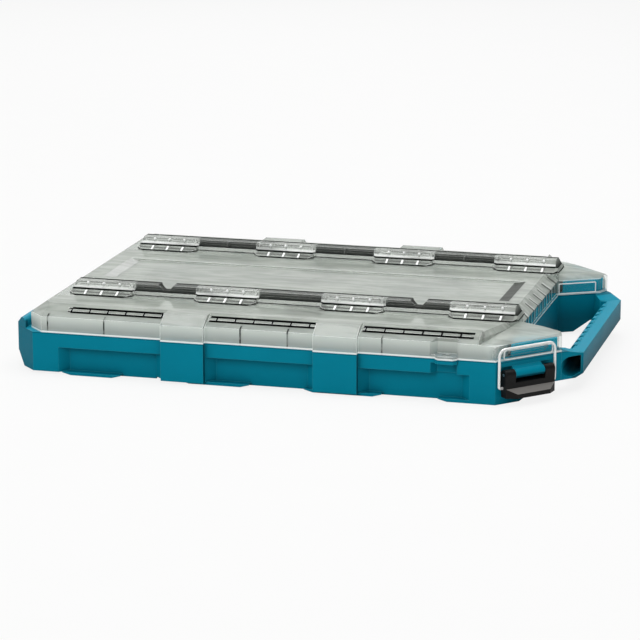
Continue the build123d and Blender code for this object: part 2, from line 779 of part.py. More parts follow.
def rail_hollows():
    """The hollows under the front rail's wide stretches, each divided by cross ribs."""
    hollows = []
    for start, end in wide_places():
        hollow = wide_stretch(start, end, lid_wall)
        step = (end - start) / (ribs_per_segment + 1)
        y0, y1 = -rail_offset - wide_base, -rail_offset + wide_base
        for i in range(ribs_per_segment):
            x = start + step * (i + 1)
            hollow -= box(x - rail_rib / 2, x + rail_rib / 2, y0, y1, deck_z - lid_wall - 2 * over, rail_z)
        hollows.append(hollow)
    return joined(hollows)


def panel_recess():
    """The shallow flat panel in the middle of the deck, with sloped ends."""
    x0, x1 = hinge_end + panel_start, handle_face - panel_end
    section = [(x0, deck_z), (x0 + panel_slope, deck_z - panel_depth), (x1 - panel_slope, deck_z - panel_depth),
               (x1, deck_z), (x1, deck_z + over), (x0, deck_z + over)]
    return bar_y(section, -panel_width / 2, panel_width / 2)


def panel_backing():
    """The wall kept under the panel, inside the lid."""
    x0, x1 = hinge_end + panel_start, handle_face - panel_end
    edge = panel_width / 2 + lid_wall
    top = deck_z - lid_wall
    return box(x0, x1, -edge, edge, top - panel_depth, top)


def lid_knuckle(y0, y1):
    """A lid knuckle with the web that joins it to the lid's end wall."""
    web = box(hinge_x, lid_end + lid_wall / 2, y0, y1, hinge_z - knuckle_web / 2, hinge_z + knuckle_web / 2)
    return web + rod((hinge_x, y0, hinge_z), (hinge_x, y1, hinge_z), knuckle_radius)


def skirt_ribs():
    """Thin upright ribs behind the front skirt."""
    outer, inner = -half + lid_wall / 2, -half + skirt_rib_depth
    half_rib = skirt_rib / 2
    places = [hinge_end + x for x in skirt_ribs_end] + [post_shift + x for x in skirt_ribs_middle]
    return joined([box(x - half_rib, x + half_rib, outer, inner, seam_z, rim_z) for x in places])


def catch_ledge():
    """The ledge on the lid's front latch corner that the bail holds down."""
    top = bail_pivot_z + bail_height - wire_radius - ledge_gap
    section = [(-over, top - ledge_height), (0, top - ledge_height), (ledge_out, top - ledge_lip),
               (ledge_out, top), (-over, top)]
    return corner_bar(section, latch_middle - ledge_length / 2, latch_middle + ledge_length / 2)


def lid_shell():
    """The hollow clear lid with its stacking rails, ribs, ledges and knuckles."""
    scoop_low = seam_z + tab_height
    outer = lid_shape() + both_sides(joined([lid_post(x) for x in post_places]))
    outer -= both_sides(raise_plan(scoop_face(), scoop_low, rail_z) + ladder_grooves())
    inner = lid_shape(lid_wall) + both_sides(joined([lid_post(x, lid_wall) for x in post_places]))
    inner -= both_sides(raise_plan(scoop_face(lid_wall), seam_z - 2 * over, rail_z))
    body = (outer - panel_recess()) - (inner - panel_backing())
    body += (stacking_rail() - saddles()) + other_side(stacking_rail() + rail_ticks())
    body -= both_sides(rail_hollows())
    body += both_sides(skirt_ribs() + catch_ledge() + padlock_tab(seam_z, scoop_low))
    _, lid_outer, _, lid_middle = knuckle_places()
    body += lid_knuckle(*lid_middle) + both_sides(lid_knuckle(*lid_outer))
    return body - pin_hole(hinge_pin_radius + running_gap) - both_sides(tab_hole())


def hinge_pin():
    """The front hinge pin, from the outer tray knuckle to the middle lid knuckle."""
    return rod((hinge_x, pin_end, hinge_z), (hinge_x, -knuckle_gap / 2, hinge_z), hinge_pin_radius)


# ---- latches ----

def cheek(s0, s1):
    """A side cheek of the front lever, round about its pivot."""
    out, z = lever_pivot_out, lever_pivot_z
    section = [(out - cheek_radius, z), (out + cheek_radius, z), (lever_front, z - bridge_drop),
               (lever_front, cheek_bottom), (lever_back, cheek_bottom)]
    return corner_bar(section, s0, s1) + corner_rod(s0, s1, out, z, cheek_radius)


def latch_lever():
    """The front latch lever: two cheeks, a bridge and a flared lip with tapered ends."""
    s0, s1 = latch_middle - lever_width / 2, latch_middle + lever_width / 2
    bridge_top = lever_pivot_z - bridge_drop
    lip_top = lever_pivot_z - lip_drop
    lip_bottom = lip_top - lip_height
    bridge = [(lever_back, bridge_top), (lever_front, bridge_top - bridge_slope),
              (lever_front, cheek_bottom), (lip_out, lip_top), (lip_out, lip_bottom),
              (lever_back + over, lip_bottom), (lever_back, cheek_bottom)]
    body = cheek(s0, s0 + cheek_width) + cheek(s1 - cheek_width, s1) + corner_bar(bridge, s0, s1)
    body -= lever_pin_solid(lever_pin_radius + running_gap)
    for s, sign in ((s0, 1), (s1, -1)):
        corners = [(s - sign, lever_front), (s, lever_front), (s + sign * lip_taper, lip_out),
                   (s + sign * lip_taper, lip_out + over), (s - sign, lip_out + over)]
        wedge = [corner_point(*corner, 0)[:2] for corner in corners]
        body -= raise_plan(outline_face(wedge), 0, bridge_top)
        ends = sorted((s - sign, s + sign * (hook_depth + hook_gap)))
        body -= corner_rod(*ends, bail_pivot_out, bail_pivot_z, wire_radius + running_gap)
    return body


def wire_bail():
    """The front bail: bent wire whose two ends hook into the lever's cheeks."""
    a, b = latch_middle - bail_width / 2, latch_middle + bail_width / 2
    s0, s1 = latch_middle - lever_width / 2, latch_middle + lever_width / 2
    top = bail_pivot_z + bail_height
    points = [(s0 + hook_depth, bail_pivot_z), (a, bail_pivot_z), (a, top), (b, top), (b, bail_pivot_z),
              (s1 - hook_depth, bail_pivot_z)]
    path = FilletPolyline(*[corner_point(s, bail_pivot_out, z) for s, z in points],
                          radius=(bail_bend, bail_corner, bail_corner, bail_bend))
    start = Plane(origin=path @ 0, z_dir=path % 0)
    return sweep(start * Circle(wire_radius), path=path)


# ---- inside ----

def foam_liner():
    """The foam insert: fills the tray round the blade pocket and rises under the lid."""
    lower = raise_plan(plan(hinge_end, tray_corner, tray_wall + foam_gap), floor_z, seam_z)
    lower &= box(cavity_start + foam_gap, cavity_end - foam_gap, -half, half, floor_z, seam_z)
    clear = lid_wall + skirt_rib_depth + foam_clear
    upper = raise_plan(plan(lid_end, lid_corner, clear), seam_z - over, foam_top)
    upper &= box(hinge_end, cavity_end - foam_gap, -half, half, seam_z - over, foam_top)
    upper &= lid_shape(lid_wall + foam_clear)
    body = lower + upper
    body -= upright(pocket_radius, floor_z, foam_top + over)
    for sign in (-1, 1):
        x = blade_x + sign * pocket_radius
        half_thumb = thumb_width / 2
        low = foam_top - thumb_height
        body -= box(x - thumb_reach, x + thumb_reach, -half_thumb, half_thumb, low, foam_top + over)
    return body


def blade_arbor():
    """The flanged arbor that the blades' bores sit on."""
    body = upright(arbor_flange_radius, floor_z, flange_z) + upright(arbor_radius, floor_z, arbor_top)
    body -= upright(stud_radius + seat_gap, flange_z, arbor_top + over)
    return body - screw_shanks(screw_radius + seat_gap, floor_z - over, flange_z + over)


def arbor_stud():
    """The stud that the clamp knob screws on to."""
    return upright(stud_radius, flange_z, knob_z + knob_height - knob_cap - stud_gap)


def arbor_screw_set():
    """Pan head screws through the arbor's flange into the tray's floor."""
    screws = []
    for x, y in screw_places():
        shank = rod((x, y, floor_z - screw_bite), (x, y, flange_z), screw_radius)
        screws.append(shank + rod((x, y, flange_z), (x, y, flange_z + screw_head), screw_head_radius))
    return Compound(children=screws)


def divider(index):
    """A thin divider disc on a hub that spaces it from what is below."""
    low = flange_z + index * divider_pitch
    high = low + divider_pitch
    body = upright(divider_hub_radius, low, high) + upright(divider_radius, high - divider_thickness, high)
    return body - upright(arbor_radius + divider_bore_gap, low - over, high + over)


def clamp_washer():
    """The plain washer between the top divider and the knob."""
    body = upright(washer_radius, dividers_top, knob_z)
    return body - upright(arbor_radius + divider_bore_gap, dividers_top - over, knob_z + over)


def clamp_knob():
    """The lobed knob that screws down on the washer."""
    top = knob_z + knob_height
    body = upright(knob_radius, knob_z, top)
    turn = 2 * pi / knob_lobes
    ring = knob_radius + knob_flute / 2
    for i in range(knob_lobes):
        x, y = blade_x + ring * cos(turn * i), ring * sin(turn * i)
        body -= rod((x, y, knob_z + knob_flange), (x, y, top + over), knob_flute)
    body -= upright(arbor_radius + arbor_gap, knob_z - over, max(arbor_top, knob_z) + arbor_gap)
    return body - upright(stud_radius + running_gap, knob_z - over, top - knob_cap)


def save(name, solid):
    """Write one named piece."""
    export_step(solid, os.path.join("parts", name + ".step"))


def front_and_rear(name, solid):
    """Write a front piece and its mirror image at the rear."""
    save(name + "_front", solid)
    save(name + "_rear", other_side(solid))


def main():
    os.makedirs("parts", exist_ok=True)
    save("base_tray", base_tray())
    save("carry_handle", carry_handle())
    save("lid_shell", lid_shell())
    front_and_rear("latch_lever", latch_lever())
    front_and_rear("wire_bail", wire_bail())
    front_and_rear("lever_pin", lever_pin_solid(lever_pin_radius))
    front_and_rear("hinge_pin", hinge_pin())
    save("foam_liner", foam_liner())
    save("blade_arbor", blade_arbor())
    save("arbor_stud", arbor_stud())
    save("arbor_screws", arbor_screw_set())
    for index in range(divider_count):
        save(f"blade_divider_{index + 1}", divider(index))
    save("clamp_washer", clamp_washer())
    save("clamp_knob", clamp_knob())


main()
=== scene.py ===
# %% [markdown]
# # A saw blade storage case, dressed
#
# The case is a teal moulded tray with a carry handle, closed by a clear hinged lid that two
# over-centre latches hold down. Its shapes come ready made from the CAD model. This lesson gives
# each of them the surface of its real material, adds the fine parts that are too small for the
# CAD model, and sets up a plain studio view: a pale floor, soft lamps and a long lens.
#
# Lengths are in metres. X runs from the hinge end to the handle, Y across the case, and Z up.

# %% Load the CAD model as a fixed frame
import bpy
from math import cos, hypot, radians, sin
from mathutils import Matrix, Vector


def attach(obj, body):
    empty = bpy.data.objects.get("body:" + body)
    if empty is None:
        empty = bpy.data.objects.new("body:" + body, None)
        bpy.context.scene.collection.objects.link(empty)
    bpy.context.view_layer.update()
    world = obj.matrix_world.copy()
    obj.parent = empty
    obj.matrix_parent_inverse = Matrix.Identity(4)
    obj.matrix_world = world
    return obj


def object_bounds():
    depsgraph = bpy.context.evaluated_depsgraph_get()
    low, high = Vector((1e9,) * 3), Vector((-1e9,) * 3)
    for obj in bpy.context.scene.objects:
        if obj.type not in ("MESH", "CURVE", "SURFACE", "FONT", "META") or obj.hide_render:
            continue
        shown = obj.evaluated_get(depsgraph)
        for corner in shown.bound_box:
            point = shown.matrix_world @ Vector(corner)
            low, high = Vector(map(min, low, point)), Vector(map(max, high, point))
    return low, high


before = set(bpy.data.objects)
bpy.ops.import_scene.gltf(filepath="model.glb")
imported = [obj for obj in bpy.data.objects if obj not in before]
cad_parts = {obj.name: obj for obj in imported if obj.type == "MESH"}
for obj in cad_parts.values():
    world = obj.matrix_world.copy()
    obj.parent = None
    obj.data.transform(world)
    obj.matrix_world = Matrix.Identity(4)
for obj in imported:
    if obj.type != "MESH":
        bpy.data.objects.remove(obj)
cad_box = [list(corner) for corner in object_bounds()]
mm = 0.001
print("CAD nodes:", ", ".join(sorted(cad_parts)))
print("CAD box in millimetres:", [[round(v / mm, 1) for v in corner] for corner in cad_box])

# %% [markdown]
# ## The places that the finishes and the fine parts refer to
#
# Many finishes change at the same few places: the seam between tray and lid, the rim where the
# lid's upright skirt turns into its bevel, the flat deck, and the two stacking rails with their
# wide and narrow stretches. Named once, from the CAD box down, they keep all cells in step.

# %% Heights and stations of the case
case_end, half_depth = cad_box[1][0], 188 * mm
rail_z = cad_box[1][2]
deck_z = rail_z - 11.5 * mm
rim_z = deck_z - 9.1 * mm
seam_z = rim_z - 16 * mm
tower_start = case_end - 78 * mm
rail_y, rail_pitch = 107 * mm, 129 * mm
wide_x = 51.7 * mm
print("seam, rim, deck and rail top:", [round(z / mm, 1) for z in (seam_z, rim_z, deck_z, rail_z)])

# %% [markdown]
# ## How the materials are made
#
# Every finish here is a small graph of nodes. Writing one out with the plain Blender calls takes
# three lines a node, so one short function adds a node, sets its properties and fills its inputs,
# either with values or with what another node puts out. A second one turns the sRGB hex colours
# that people read off a swatch into the linear values that a shader works in.
#
# Many nodes below make a mask, a number from 0 to 1 that says where something shows. Masks are
# multiplied for the places that they share, and MAXIMUM takes the strongest of several.

# %% Helpers for materials
def linear(swatch):
    """An sRGB hex colour as the linear colour that Blender's sockets take."""
    shares = [int(swatch[i:i + 2], 16) / 255 for i in (1, 3, 5)]
    return [c / 12.92 if c <= 0.04045 else ((c + 0.055) / 1.055) ** 2.4 for c in shares] + [1.0]


def add(tree, kind, inputs=None, **settings):
    """Adds a node with its settings. An input is given a value or linked to an output."""
    made = tree.nodes.new(kind)
    for name, value in settings.items():
        setattr(made, name, value)
    for name, value in (inputs or {}).items():
        if isinstance(value, bpy.types.NodeSocket):
            tree.links.new(value, made.inputs[name])
        else:
            made.inputs[name].default_value = value
    return made


def empty_material(name):
    """A material with nothing in it, and the tree to fill."""
    material = bpy.data.materials.new(name)
    material.use_nodes = True
    material.node_tree.nodes.clear()
    return material, material.node_tree


def dress(material, *names):
    """Puts a material on CAD nodes or on pieces, in place of what they had."""
    for name in names:
        mesh = bpy.data.objects[name].data
        mesh.materials.clear()
        mesh.materials.append(material)
    print(material.name, "on", len(names), "objects")

# %% [markdown]
# ## Teal polypropylene for the tray and the handle
#
# The tray and the handle are injection moulded in polypropylene with a fine spark-eroded grain.
# That grain is about 0.2 mm, too fine to show from this far, so it is drawn at 1.4 mm, which
# still breaks up the highlights as the real one does. Along the corners, which are sharp from the
# mould, a painted highlight draws thin paler lines where they would catch the light. A Bevel node
# finds them: where its rounded normal leaves the true one, the colour is lifted a little as a
# painted highlight, and the light rolls over the edge.

# %% Resin, grain and painted highlights on the edges
cloud_size, grain_size, edge_radius = 45 * mm, 1.4 * mm, 0.7 * mm
teal, tree = empty_material("polypropylene_teal")
place = add(tree, "ShaderNodeTexCoord").outputs["Object"]
cloudy = add(tree, "ShaderNodeTexNoise", {"Vector": place, "Scale": 1 / cloud_size, "Detail": 3.0})
resin = add(tree, "ShaderNodeMix", {
    "Factor": cloudy.outputs["Fac"], "A": linear("#007b93"), "B": linear("#00869f")},
    data_type="RGBA")
grain = add(tree, "ShaderNodeTexNoise", {"Vector": place, "Scale": 1 / grain_size, "Detail": 2.0})
rounded = add(tree, "ShaderNodeBevel", {"Radius": edge_radius}, samples=6)
true_normal = add(tree, "ShaderNodeNewGeometry").outputs["Normal"]
agreement = add(tree, "ShaderNodeVectorMath", {
    0: rounded.outputs["Normal"], 1: true_normal}, operation="DOT_PRODUCT")
edge = add(tree, "ShaderNodeMapRange", {
    "Value": agreement.outputs["Value"], "From Min": 0.99, "From Max": 0.80, "To Max": 0.5})
print("grain and worn edges in mm:", round(grain_size / mm, 1), round(edge_radius / mm, 1))

# %% [markdown]
# ## Shade in the tray's hollows
#
# Recesses, inner corners and the hand hole look deeper and darker on a real tray than soft lamps
# make them, so shade is painted into the resin itself there. An Ambient Occlusion node finds inner
# corners within 14 mm. It looks at the one piece alone, or the clear lid would darken what it
# covers. Faces that look down get more painted shade, and so does a fine line just under the seam.
#
# Three more places are picked out by where they are and which way they face: the recess ends
# that face the handle, the hinge end with its cut corners, and the walls of the hand hole, which
# grow darker further down. Each of these is a mask from 0 to 1, and the strongest one counts.

# %% Inner corners, undersides and the line under the seam
spot = add(tree, "ShaderNodeSeparateXYZ", {"Vector": place})
facing = add(tree, "ShaderNodeSeparateXYZ", {"Vector": true_normal})
open_sky = add(tree, "ShaderNodeAmbientOcclusion", {"Distance": 14 * mm},
               samples=6, only_local=True)
hollow = add(tree, "ShaderNodeMapRange", {
    "Value": open_sky.outputs["AO"], "From Min": 0.9, "From Max": 0.3, "To Max": 0.45})
underneath = add(tree, "ShaderNodeMapRange", {
    "Value": facing.outputs["Z"], "From Min": -0.1, "From Max": -0.5, "To Max": 0.8})
shade_z = seam_z - 0.8 * mm
under_seam = add(tree, "ShaderNodeMath", {
    0: spot.outputs["Z"], 1: shade_z, 2: 0.45 * mm}, operation="COMPARE")
seam_shade = add(tree, "ShaderNodeMath", {
    0: under_seam.outputs["Value"], 1: 0.5}, operation="MULTIPLY").outputs["Value"]
print("a line of shade at", round(shade_z / mm, 1), "mm, under the seam")

# %% Recess ends, the hinge end and the hand hole
out_wide = add(tree, "ShaderNodeMath", {0: spot.outputs["Y"]}, operation="ABSOLUTE")
at_side = add(tree, "ShaderNodeMath", {
    0: out_wide.outputs["Value"], 1: half_depth - 18 * mm}, operation="GREATER_THAN")
to_handle = add(tree, "ShaderNodeMapRange", {
    "Value": facing.outputs["X"], "From Min": 0.75, "From Max": 0.95, "To Max": 0.62})
recess_end = add(tree, "ShaderNodeMath", {
    0: at_side.outputs["Value"], 1: to_handle.outputs["Result"]},
    operation="MULTIPLY").outputs["Value"]
at_hinge = add(tree, "ShaderNodeMath", {
    0: spot.outputs["X"], 1: -case_end + 26 * mm}, operation="LESS_THAN")
to_hinge = add(tree, "ShaderNodeMapRange", {
    "Value": facing.outputs["X"], "From Min": -0.3, "From Max": -0.7, "To Max": 0.35})
hinge_corner = add(tree, "ShaderNodeMath", {
    0: at_hinge.outputs["Value"], 1: to_hinge.outputs["Result"]},
    operation="MULTIPLY").outputs["Value"]
past_notch = add(tree, "ShaderNodeMath", {
    0: spot.outputs["X"], 1: case_end - 64 * mm}, operation="GREATER_THAN")
near_middle = add(tree, "ShaderNodeMath", {
    0: spot.outputs["Y"], 1: 0.0, 2: 122 * mm}, operation="COMPARE")
not_up = add(tree, "ShaderNodeMath", {0: facing.outputs["Z"], 1: 0.25}, operation="LESS_THAN")
low_down = add(tree, "ShaderNodeMapRange", {
    "Value": spot.outputs["Z"], "From Min": seam_z - 2 * mm, "From Max": seam_z - 26 * mm,
    "To Max": 0.65})
hand_hole = past_notch.outputs["Value"]
for mask in (near_middle.outputs["Value"], not_up.outputs["Value"], low_down.outputs["Result"]):
    hand_hole = add(tree, "ShaderNodeMath", {
        0: hand_hole, 1: mask}, operation="MULTIPLY").outputs["Value"]
shaded = hollow.outputs["Result"]
for mask in (underneath.outputs["Result"], seam_shade, recess_end, hinge_corner, hand_hole):
    shaded = add(tree, "ShaderNodeMath", {
        0: shaded, 1: mask}, operation="MAXIMUM").outputs["Value"]
print("nodes in the teal with its shade:", len(tree.nodes))

# %% [markdown]
# ## Tower blocks and the finished teal
#
# The blocks that stand up inside the lid's towers are seen through its clear wall, which greys
# them. They are painted a brighter teal, painted light that makes up for what the wall takes, so
# that what is left still reads as teal. The price is that they look too bright when the lid is
# open. Moulded polypropylene is satin rather than glossy, and its reflections are kept weak,
# because a pale room would otherwise wash out this deep colour on every slanting face.

# %% Tower blocks and the finished teal
# Painted shade: the resin is mixed towards a dark teal where the masks above say.
painted_shade_teal = add(tree, "ShaderNodeMix", {
    "Factor": shaded, "A": resin.outputs["Result"], "B": linear("#002a36")}, data_type="RGBA")
under_lid = add(tree, "ShaderNodeMath", {
    0: spot.outputs["Z"], 1: seam_z + 0.4 * mm}, operation="GREATER_THAN")
in_tower = add(tree, "ShaderNodeMath", {
    0: spot.outputs["X"], 1: tower_start}, operation="GREATER_THAN")
tower_block = add(tree, "ShaderNodeMath", {
    0: under_lid.outputs["Value"], 1: in_tower.outputs["Value"]},
    operation="MULTIPLY").outputs["Value"]
# Painted light: the tower blocks get a brighter teal than the rest of the tray.
tower_blocks_painted_lighter = add(tree, "ShaderNodeMix", {
    "Factor": tower_block, "A": painted_shade_teal.outputs["Result"], "B": linear("#0fb0d0")},
    data_type="RGBA")
# Painted highlight: the edges are lifted to a paler teal.
highlighted = add(tree, "ShaderNodeMix", {
    "Factor": edge.outputs["Result"], "A": tower_blocks_painted_lighter.outputs["Result"], "B": linear("#58bccb")},
    data_type="RGBA")
grained = add(tree, "ShaderNodeBump", {
    "Height": grain.outputs["Fac"], "Distance": 0.12 * mm, "Strength": 0.35,
    "Normal": rounded.outputs["Normal"]})
satin = add(tree, "ShaderNodeMapRange", {
    "Value": cloudy.outputs["Fac"], "To Min": 0.38, "To Max": 0.50})
teal_surface = add(tree, "ShaderNodeBsdfPrincipled", {
    "Base Color": highlighted.outputs["Result"], "Roughness": satin.outputs["Result"],
    "IOR": 1.49, "Specular IOR Level": 0.05, "Normal": grained.outputs["Normal"]})
add(tree, "ShaderNodeOutputMaterial", {"Surface": teal_surface.outputs["BSDF"]})
dress(teal, "base_tray", "carry_handle")

# %% [markdown]
# ## Clear polycarbonate for the lid
#
# The lid is moulded in slightly smoky clear polycarbonate, which bends light strongly: its IOR is
# 1.585. It starts as solid clear plastic with broad shallow waves, left by the flow of the melt,
# and with faint scuffs. That alone comes out too empty and too glassy. A real lid has flow marks
# and fine ribs on both of its faces that mirror and bend the light in short dark and bright
# strokes. So these strokes are painted over the clear plastic as painted shade and painted
# highlights, one layer for each kind of mark. A layer is a Mix Shader, and its mask is worked out
# from the place on the lid and the way that it faces.

# %% Clear polycarbonate
clear, tree = empty_material("polycarbonate_clear")
place = add(tree, "ShaderNodeTexCoord").outputs["Object"]
spot = add(tree, "ShaderNodeSeparateXYZ", {"Vector": place})
across = add(tree, "ShaderNodeMath", {0: spot.outputs["Y"]}, operation="ABSOLUTE")
waves = add(tree, "ShaderNodeTexNoise", {"Vector": place, "Scale": 1 / (28 * mm), "Detail": 1.5})
rounded = add(tree, "ShaderNodeBevel", {"Radius": 0.9 * mm}, samples=6)
wavy = add(tree, "ShaderNodeBump", {
    "Height": waves.outputs["Fac"], "Distance": 0.5 * mm, "Strength": 0.10,
    "Normal": rounded.outputs["Normal"]})
scuffs = add(tree, "ShaderNodeTexNoise", {"Vector": place, "Scale": 1 / (9 * mm), "Detail": 4.0})
polish = add(tree, "ShaderNodeMapRange", {
    "Value": scuffs.outputs["Fac"], "To Min": 0.02, "To Max": 0.08})
solid_clear = add(tree, "ShaderNodeBsdfPrincipled", {
    "Base Color": linear("#f3f5f3"), "Roughness": polish.outputs["Result"], "IOR": 1.585,
    "Transmission Weight": 1.0, "Normal": wavy.outputs["Normal"]})
print("IOR of the solid plastic:", solid_clear.inputs["IOR"].default_value)

# %% [markdown]
# ## Haze of the plastic, by region
#
# The haze mixes a diffuse and a translucent surface, in a grey with painted streaks of reflection
# that run along the case. On the upright skirt it is paler, and paler still towards the rim, a
# painted lighter tone for the light that the skirt catches. How much of it covers the clear
# plastic differs: half on the deck, less on the rails and the skirt, and nearly all on the roofs
# of the towers. The steep sides of the towers are windows, so they get next to none and let the
# view straight through, without the bending that would smear the teal blocks behind them.

# %% Colour of the haze
stretched = add(tree, "ShaderNodeMapping", {"Vector": place, "Scale": [0.22, 1.0, 1.0]})
# Painted reflection: grey streaks stretched along the case.
reflection_streaks = add(tree, "ShaderNodeTexNoise", {
    "Vector": stretched.outputs["Vector"], "Scale": 1 / (11 * mm), "Detail": 3.0,
    "Distortion": 0.6})
streak = add(tree, "ShaderNodeMapRange", {
    "Value": reflection_streaks.outputs["Fac"], "From Min": 0.40, "From Max": 0.62})
top_tone = add(tree, "ShaderNodeMix", {
    "Factor": streak.outputs["Result"], "A": linear("#bcc0ba"), "B": linear("#a4a9a3")},
    data_type="RGBA")
pale_z = seam_z + 14 * mm
# Painted light: the skirt's haze is paler, most of all towards the rim.
skirt_rise = add(tree, "ShaderNodeMapRange", {
    "Value": spot.outputs["Z"], "From Min": seam_z + 5 * mm, "From Max": pale_z})
skirt_lit_tone = add(tree, "ShaderNodeMix", {
    "Factor": skirt_rise.outputs["Result"], "A": linear("#c9cdc9"), "B": linear("#eef2ee")},
    data_type="RGBA")
on_skirt = add(tree, "ShaderNodeMath", {
    0: spot.outputs["Z"], 1: rim_z - 0.4 * mm}, operation="LESS_THAN")
tone = add(tree, "ShaderNodeMix", {
    "Factor": on_skirt.outputs["Value"], "A": top_tone.outputs["Result"],
    "B": skirt_lit_tone.outputs["Result"]}, data_type="RGBA")
milky = add(tree, "ShaderNodeBsdfDiffuse", {
    "Color": tone.outputs["Result"], "Normal": wavy.outputs["Normal"]})
lit_through = add(tree, "ShaderNodeBsdfTranslucent", {
    "Color": tone.outputs["Result"], "Normal": wavy.outputs["Normal"]})
haze = add(tree, "ShaderNodeMixShader", {
    "Fac": 0.4, 1: milky.outputs["BSDF"], 2: lit_through.outputs["BSDF"]})
print("haze on the skirt pales up to", round(pale_z / mm, 1), "mm")

# %% Share of the haze
over_rail = add(tree, "ShaderNodeMath", {
    0: across.outputs["Value"], 1: rail_y, 2: 24 * mm}, operation="COMPARE")
high = add(tree, "ShaderNodeMath", {
    0: spot.outputs["Z"], 1: deck_z - 3 * mm}, operation="GREATER_THAN")
on_rail = add(tree, "ShaderNodeMath", {
    0: over_rail.outputs["Value"], 1: high.outputs["Value"]}, operation="MULTIPLY").outputs["Value"]
top_haze = add(tree, "ShaderNodeMix", {
    "Factor": on_rail, "A": 0.5, "B": 0.36}, data_type="FLOAT")
side_haze = add(tree, "ShaderNodeMix", {
    "Factor": on_skirt.outputs["Value"], "A": top_haze.outputs["Result"], "B": 0.45},
    data_type="FLOAT")
on_tower = add(tree, "ShaderNodeMapRange", {
    "Value": spot.outputs["X"], "From Min": tower_start, "From Max": tower_start + 12 * mm})
true_normal = add(tree, "ShaderNodeNewGeometry").outputs["Normal"]
facing = add(tree, "ShaderNodeSeparateXYZ", {"Vector": true_normal})
flat = add(tree, "ShaderNodeMath", {0: facing.outputs["Z"], 1: 0.3}, operation="GREATER_THAN")
tall = add(tree, "ShaderNodeMath", {
    0: spot.outputs["Z"], 1: deck_z - 10 * mm}, operation="GREATER_THAN")
roof = add(tree, "ShaderNodeMath", {
    0: flat.outputs["Value"], 1: tall.outputs["Value"]}, operation="MULTIPLY").outputs["Value"]
steep = add(tree, "ShaderNodeMath", {0: 1.0, 1: roof}, operation="SUBTRACT")
window = add(tree, "ShaderNodeMath", {
    0: on_tower.outputs["Result"], 1: steep.outputs["Value"]},
    operation="MULTIPLY").outputs["Value"]
straight_through = add(tree, "ShaderNodeBsdfTransparent", {"Color": linear("#f4f6f5")})
bare = add(tree, "ShaderNodeMixShader", {
    "Fac": window, 1: solid_clear.outputs["BSDF"], 2: straight_through.outputs["BSDF"]})
tower_haze = add(tree, "ShaderNodeMix", {
    "Factor": steep.outputs["Value"], "A": 0.88, "B": 0.03}, data_type="FLOAT")
share = add(tree, "ShaderNodeMix", {
    "Factor": on_tower.outputs["Result"], "A": side_haze.outputs["Result"],
    "B": tower_haze.outputs["Result"]}, data_type="FLOAT")
hazy = add(tree, "ShaderNodeMixShader", {
    "Fac": share.outputs["Result"], 1: bare.outputs["Shader"], 2: haze.outputs["Shader"]})
print("nodes in the lid's plastic with its haze:", len(tree.nodes))

# %% [markdown]
# ## Ladder grooves in the side bevels
#
# The long bevels on both sides of the lid carry a ladder of narrow grooves. Light that enters a
# groove's wall is bent out of sight, so the grooves show nearly black, and this is painted as
# shade. Their floors are found by depth: a level is measured square to the bevel, and what lies a
# groove's depth below its face is painted dark. The two long grooves are painted dark over their
# full width too, so that they read as unbroken lines from a low angle.

# %% Ladder grooves
bevel_run, bevel_rise = 22 * mm, deck_z - rim_z
bevel_length = hypot(bevel_run, bevel_rise)
up_share, out_share = bevel_run / bevel_length, bevel_rise / bevel_length
face_level = up_share * rim_z
low_groove_y, high_groove_y, groove_half = 178.7 * mm, 172.1 * mm, 1.5 * mm
ladder_middle, ladder_half = -15 * mm, 209 * mm
out_part = add(tree, "ShaderNodeMath", {
    0: across.outputs["Value"], 1: out_share, 2: -out_share * half_depth}, operation="MULTIPLY_ADD")
level = add(tree, "ShaderNodeMath", {
    0: spot.outputs["Z"], 1: up_share, 2: out_part.outputs["Value"]}, operation="MULTIPLY_ADD")
sunk = add(tree, "ShaderNodeMath", {
    0: level.outputs["Value"], 1: face_level - 1.1 * mm, 2: 0.85 * mm}, operation="COMPARE")
in_ladder = add(tree, "ShaderNodeMath", {
    0: across.outputs["Value"], 1: (low_groove_y + high_groove_y) / 2, 2: 3.9 * mm},
    operation="COMPARE")
in_length = add(tree, "ShaderNodeMath", {
    0: spot.outputs["X"], 1: ladder_middle, 2: ladder_half}, operation="COMPARE")
groove_floor = sunk.outputs["Value"]
for mask in (in_ladder.outputs["Value"], in_length.outputs["Value"]):
    groove_floor = add(tree, "ShaderNodeMath", {
        0: groove_floor, 1: mask}, operation="MULTIPLY").outputs["Value"]
print("the bevel rises", round(bevel_rise / mm, 1), "mm over", round(bevel_run / mm, 1), "mm")

# %% The two long grooves
groove_spans = ((-172.0, 47.0), (-23.5, 53.0), (131.5, 54.5))    # middle and half length, in mm
in_line = 0.0
for groove_y in (low_groove_y, high_groove_y):
    line = add(tree, "ShaderNodeMath", {
        0: across.outputs["Value"], 1: groove_y, 2: groove_half}, operation="COMPARE")
    in_line = add(tree, "ShaderNodeMath", {
        0: in_line, 1: line.outputs["Value"]}, operation="MAXIMUM").outputs["Value"]
in_span = 0.0
for middle, reach in groove_spans:
    span = add(tree, "ShaderNodeMath", {
        0: spot.outputs["X"], 1: middle * mm, 2: reach * mm}, operation="COMPARE")
    in_span = add(tree, "ShaderNodeMath", {
        0: in_span, 1: span.outputs["Value"]}, operation="MAXIMUM").outputs["Value"]
outer_skin = add(tree, "ShaderNodeMath", {
    0: level.outputs["Value"], 1: face_level - 2 * mm}, operation="GREATER_THAN")
long_lines = outer_skin.outputs["Value"]
for mask in (in_line, in_span):
    long_lines = add(tree, "ShaderNodeMath", {
        0: long_lines, 1: mask}, operation="MULTIPLY").outputs["Value"]
groove = add(tree, "ShaderNodeMath", {
    0: groove_floor, 1: long_lines}, operation="MAXIMUM").outputs["Value"]
print("grooves at", [round(y / mm, 1) for y in (low_groove_y, high_groove_y)], "mm from the middle")
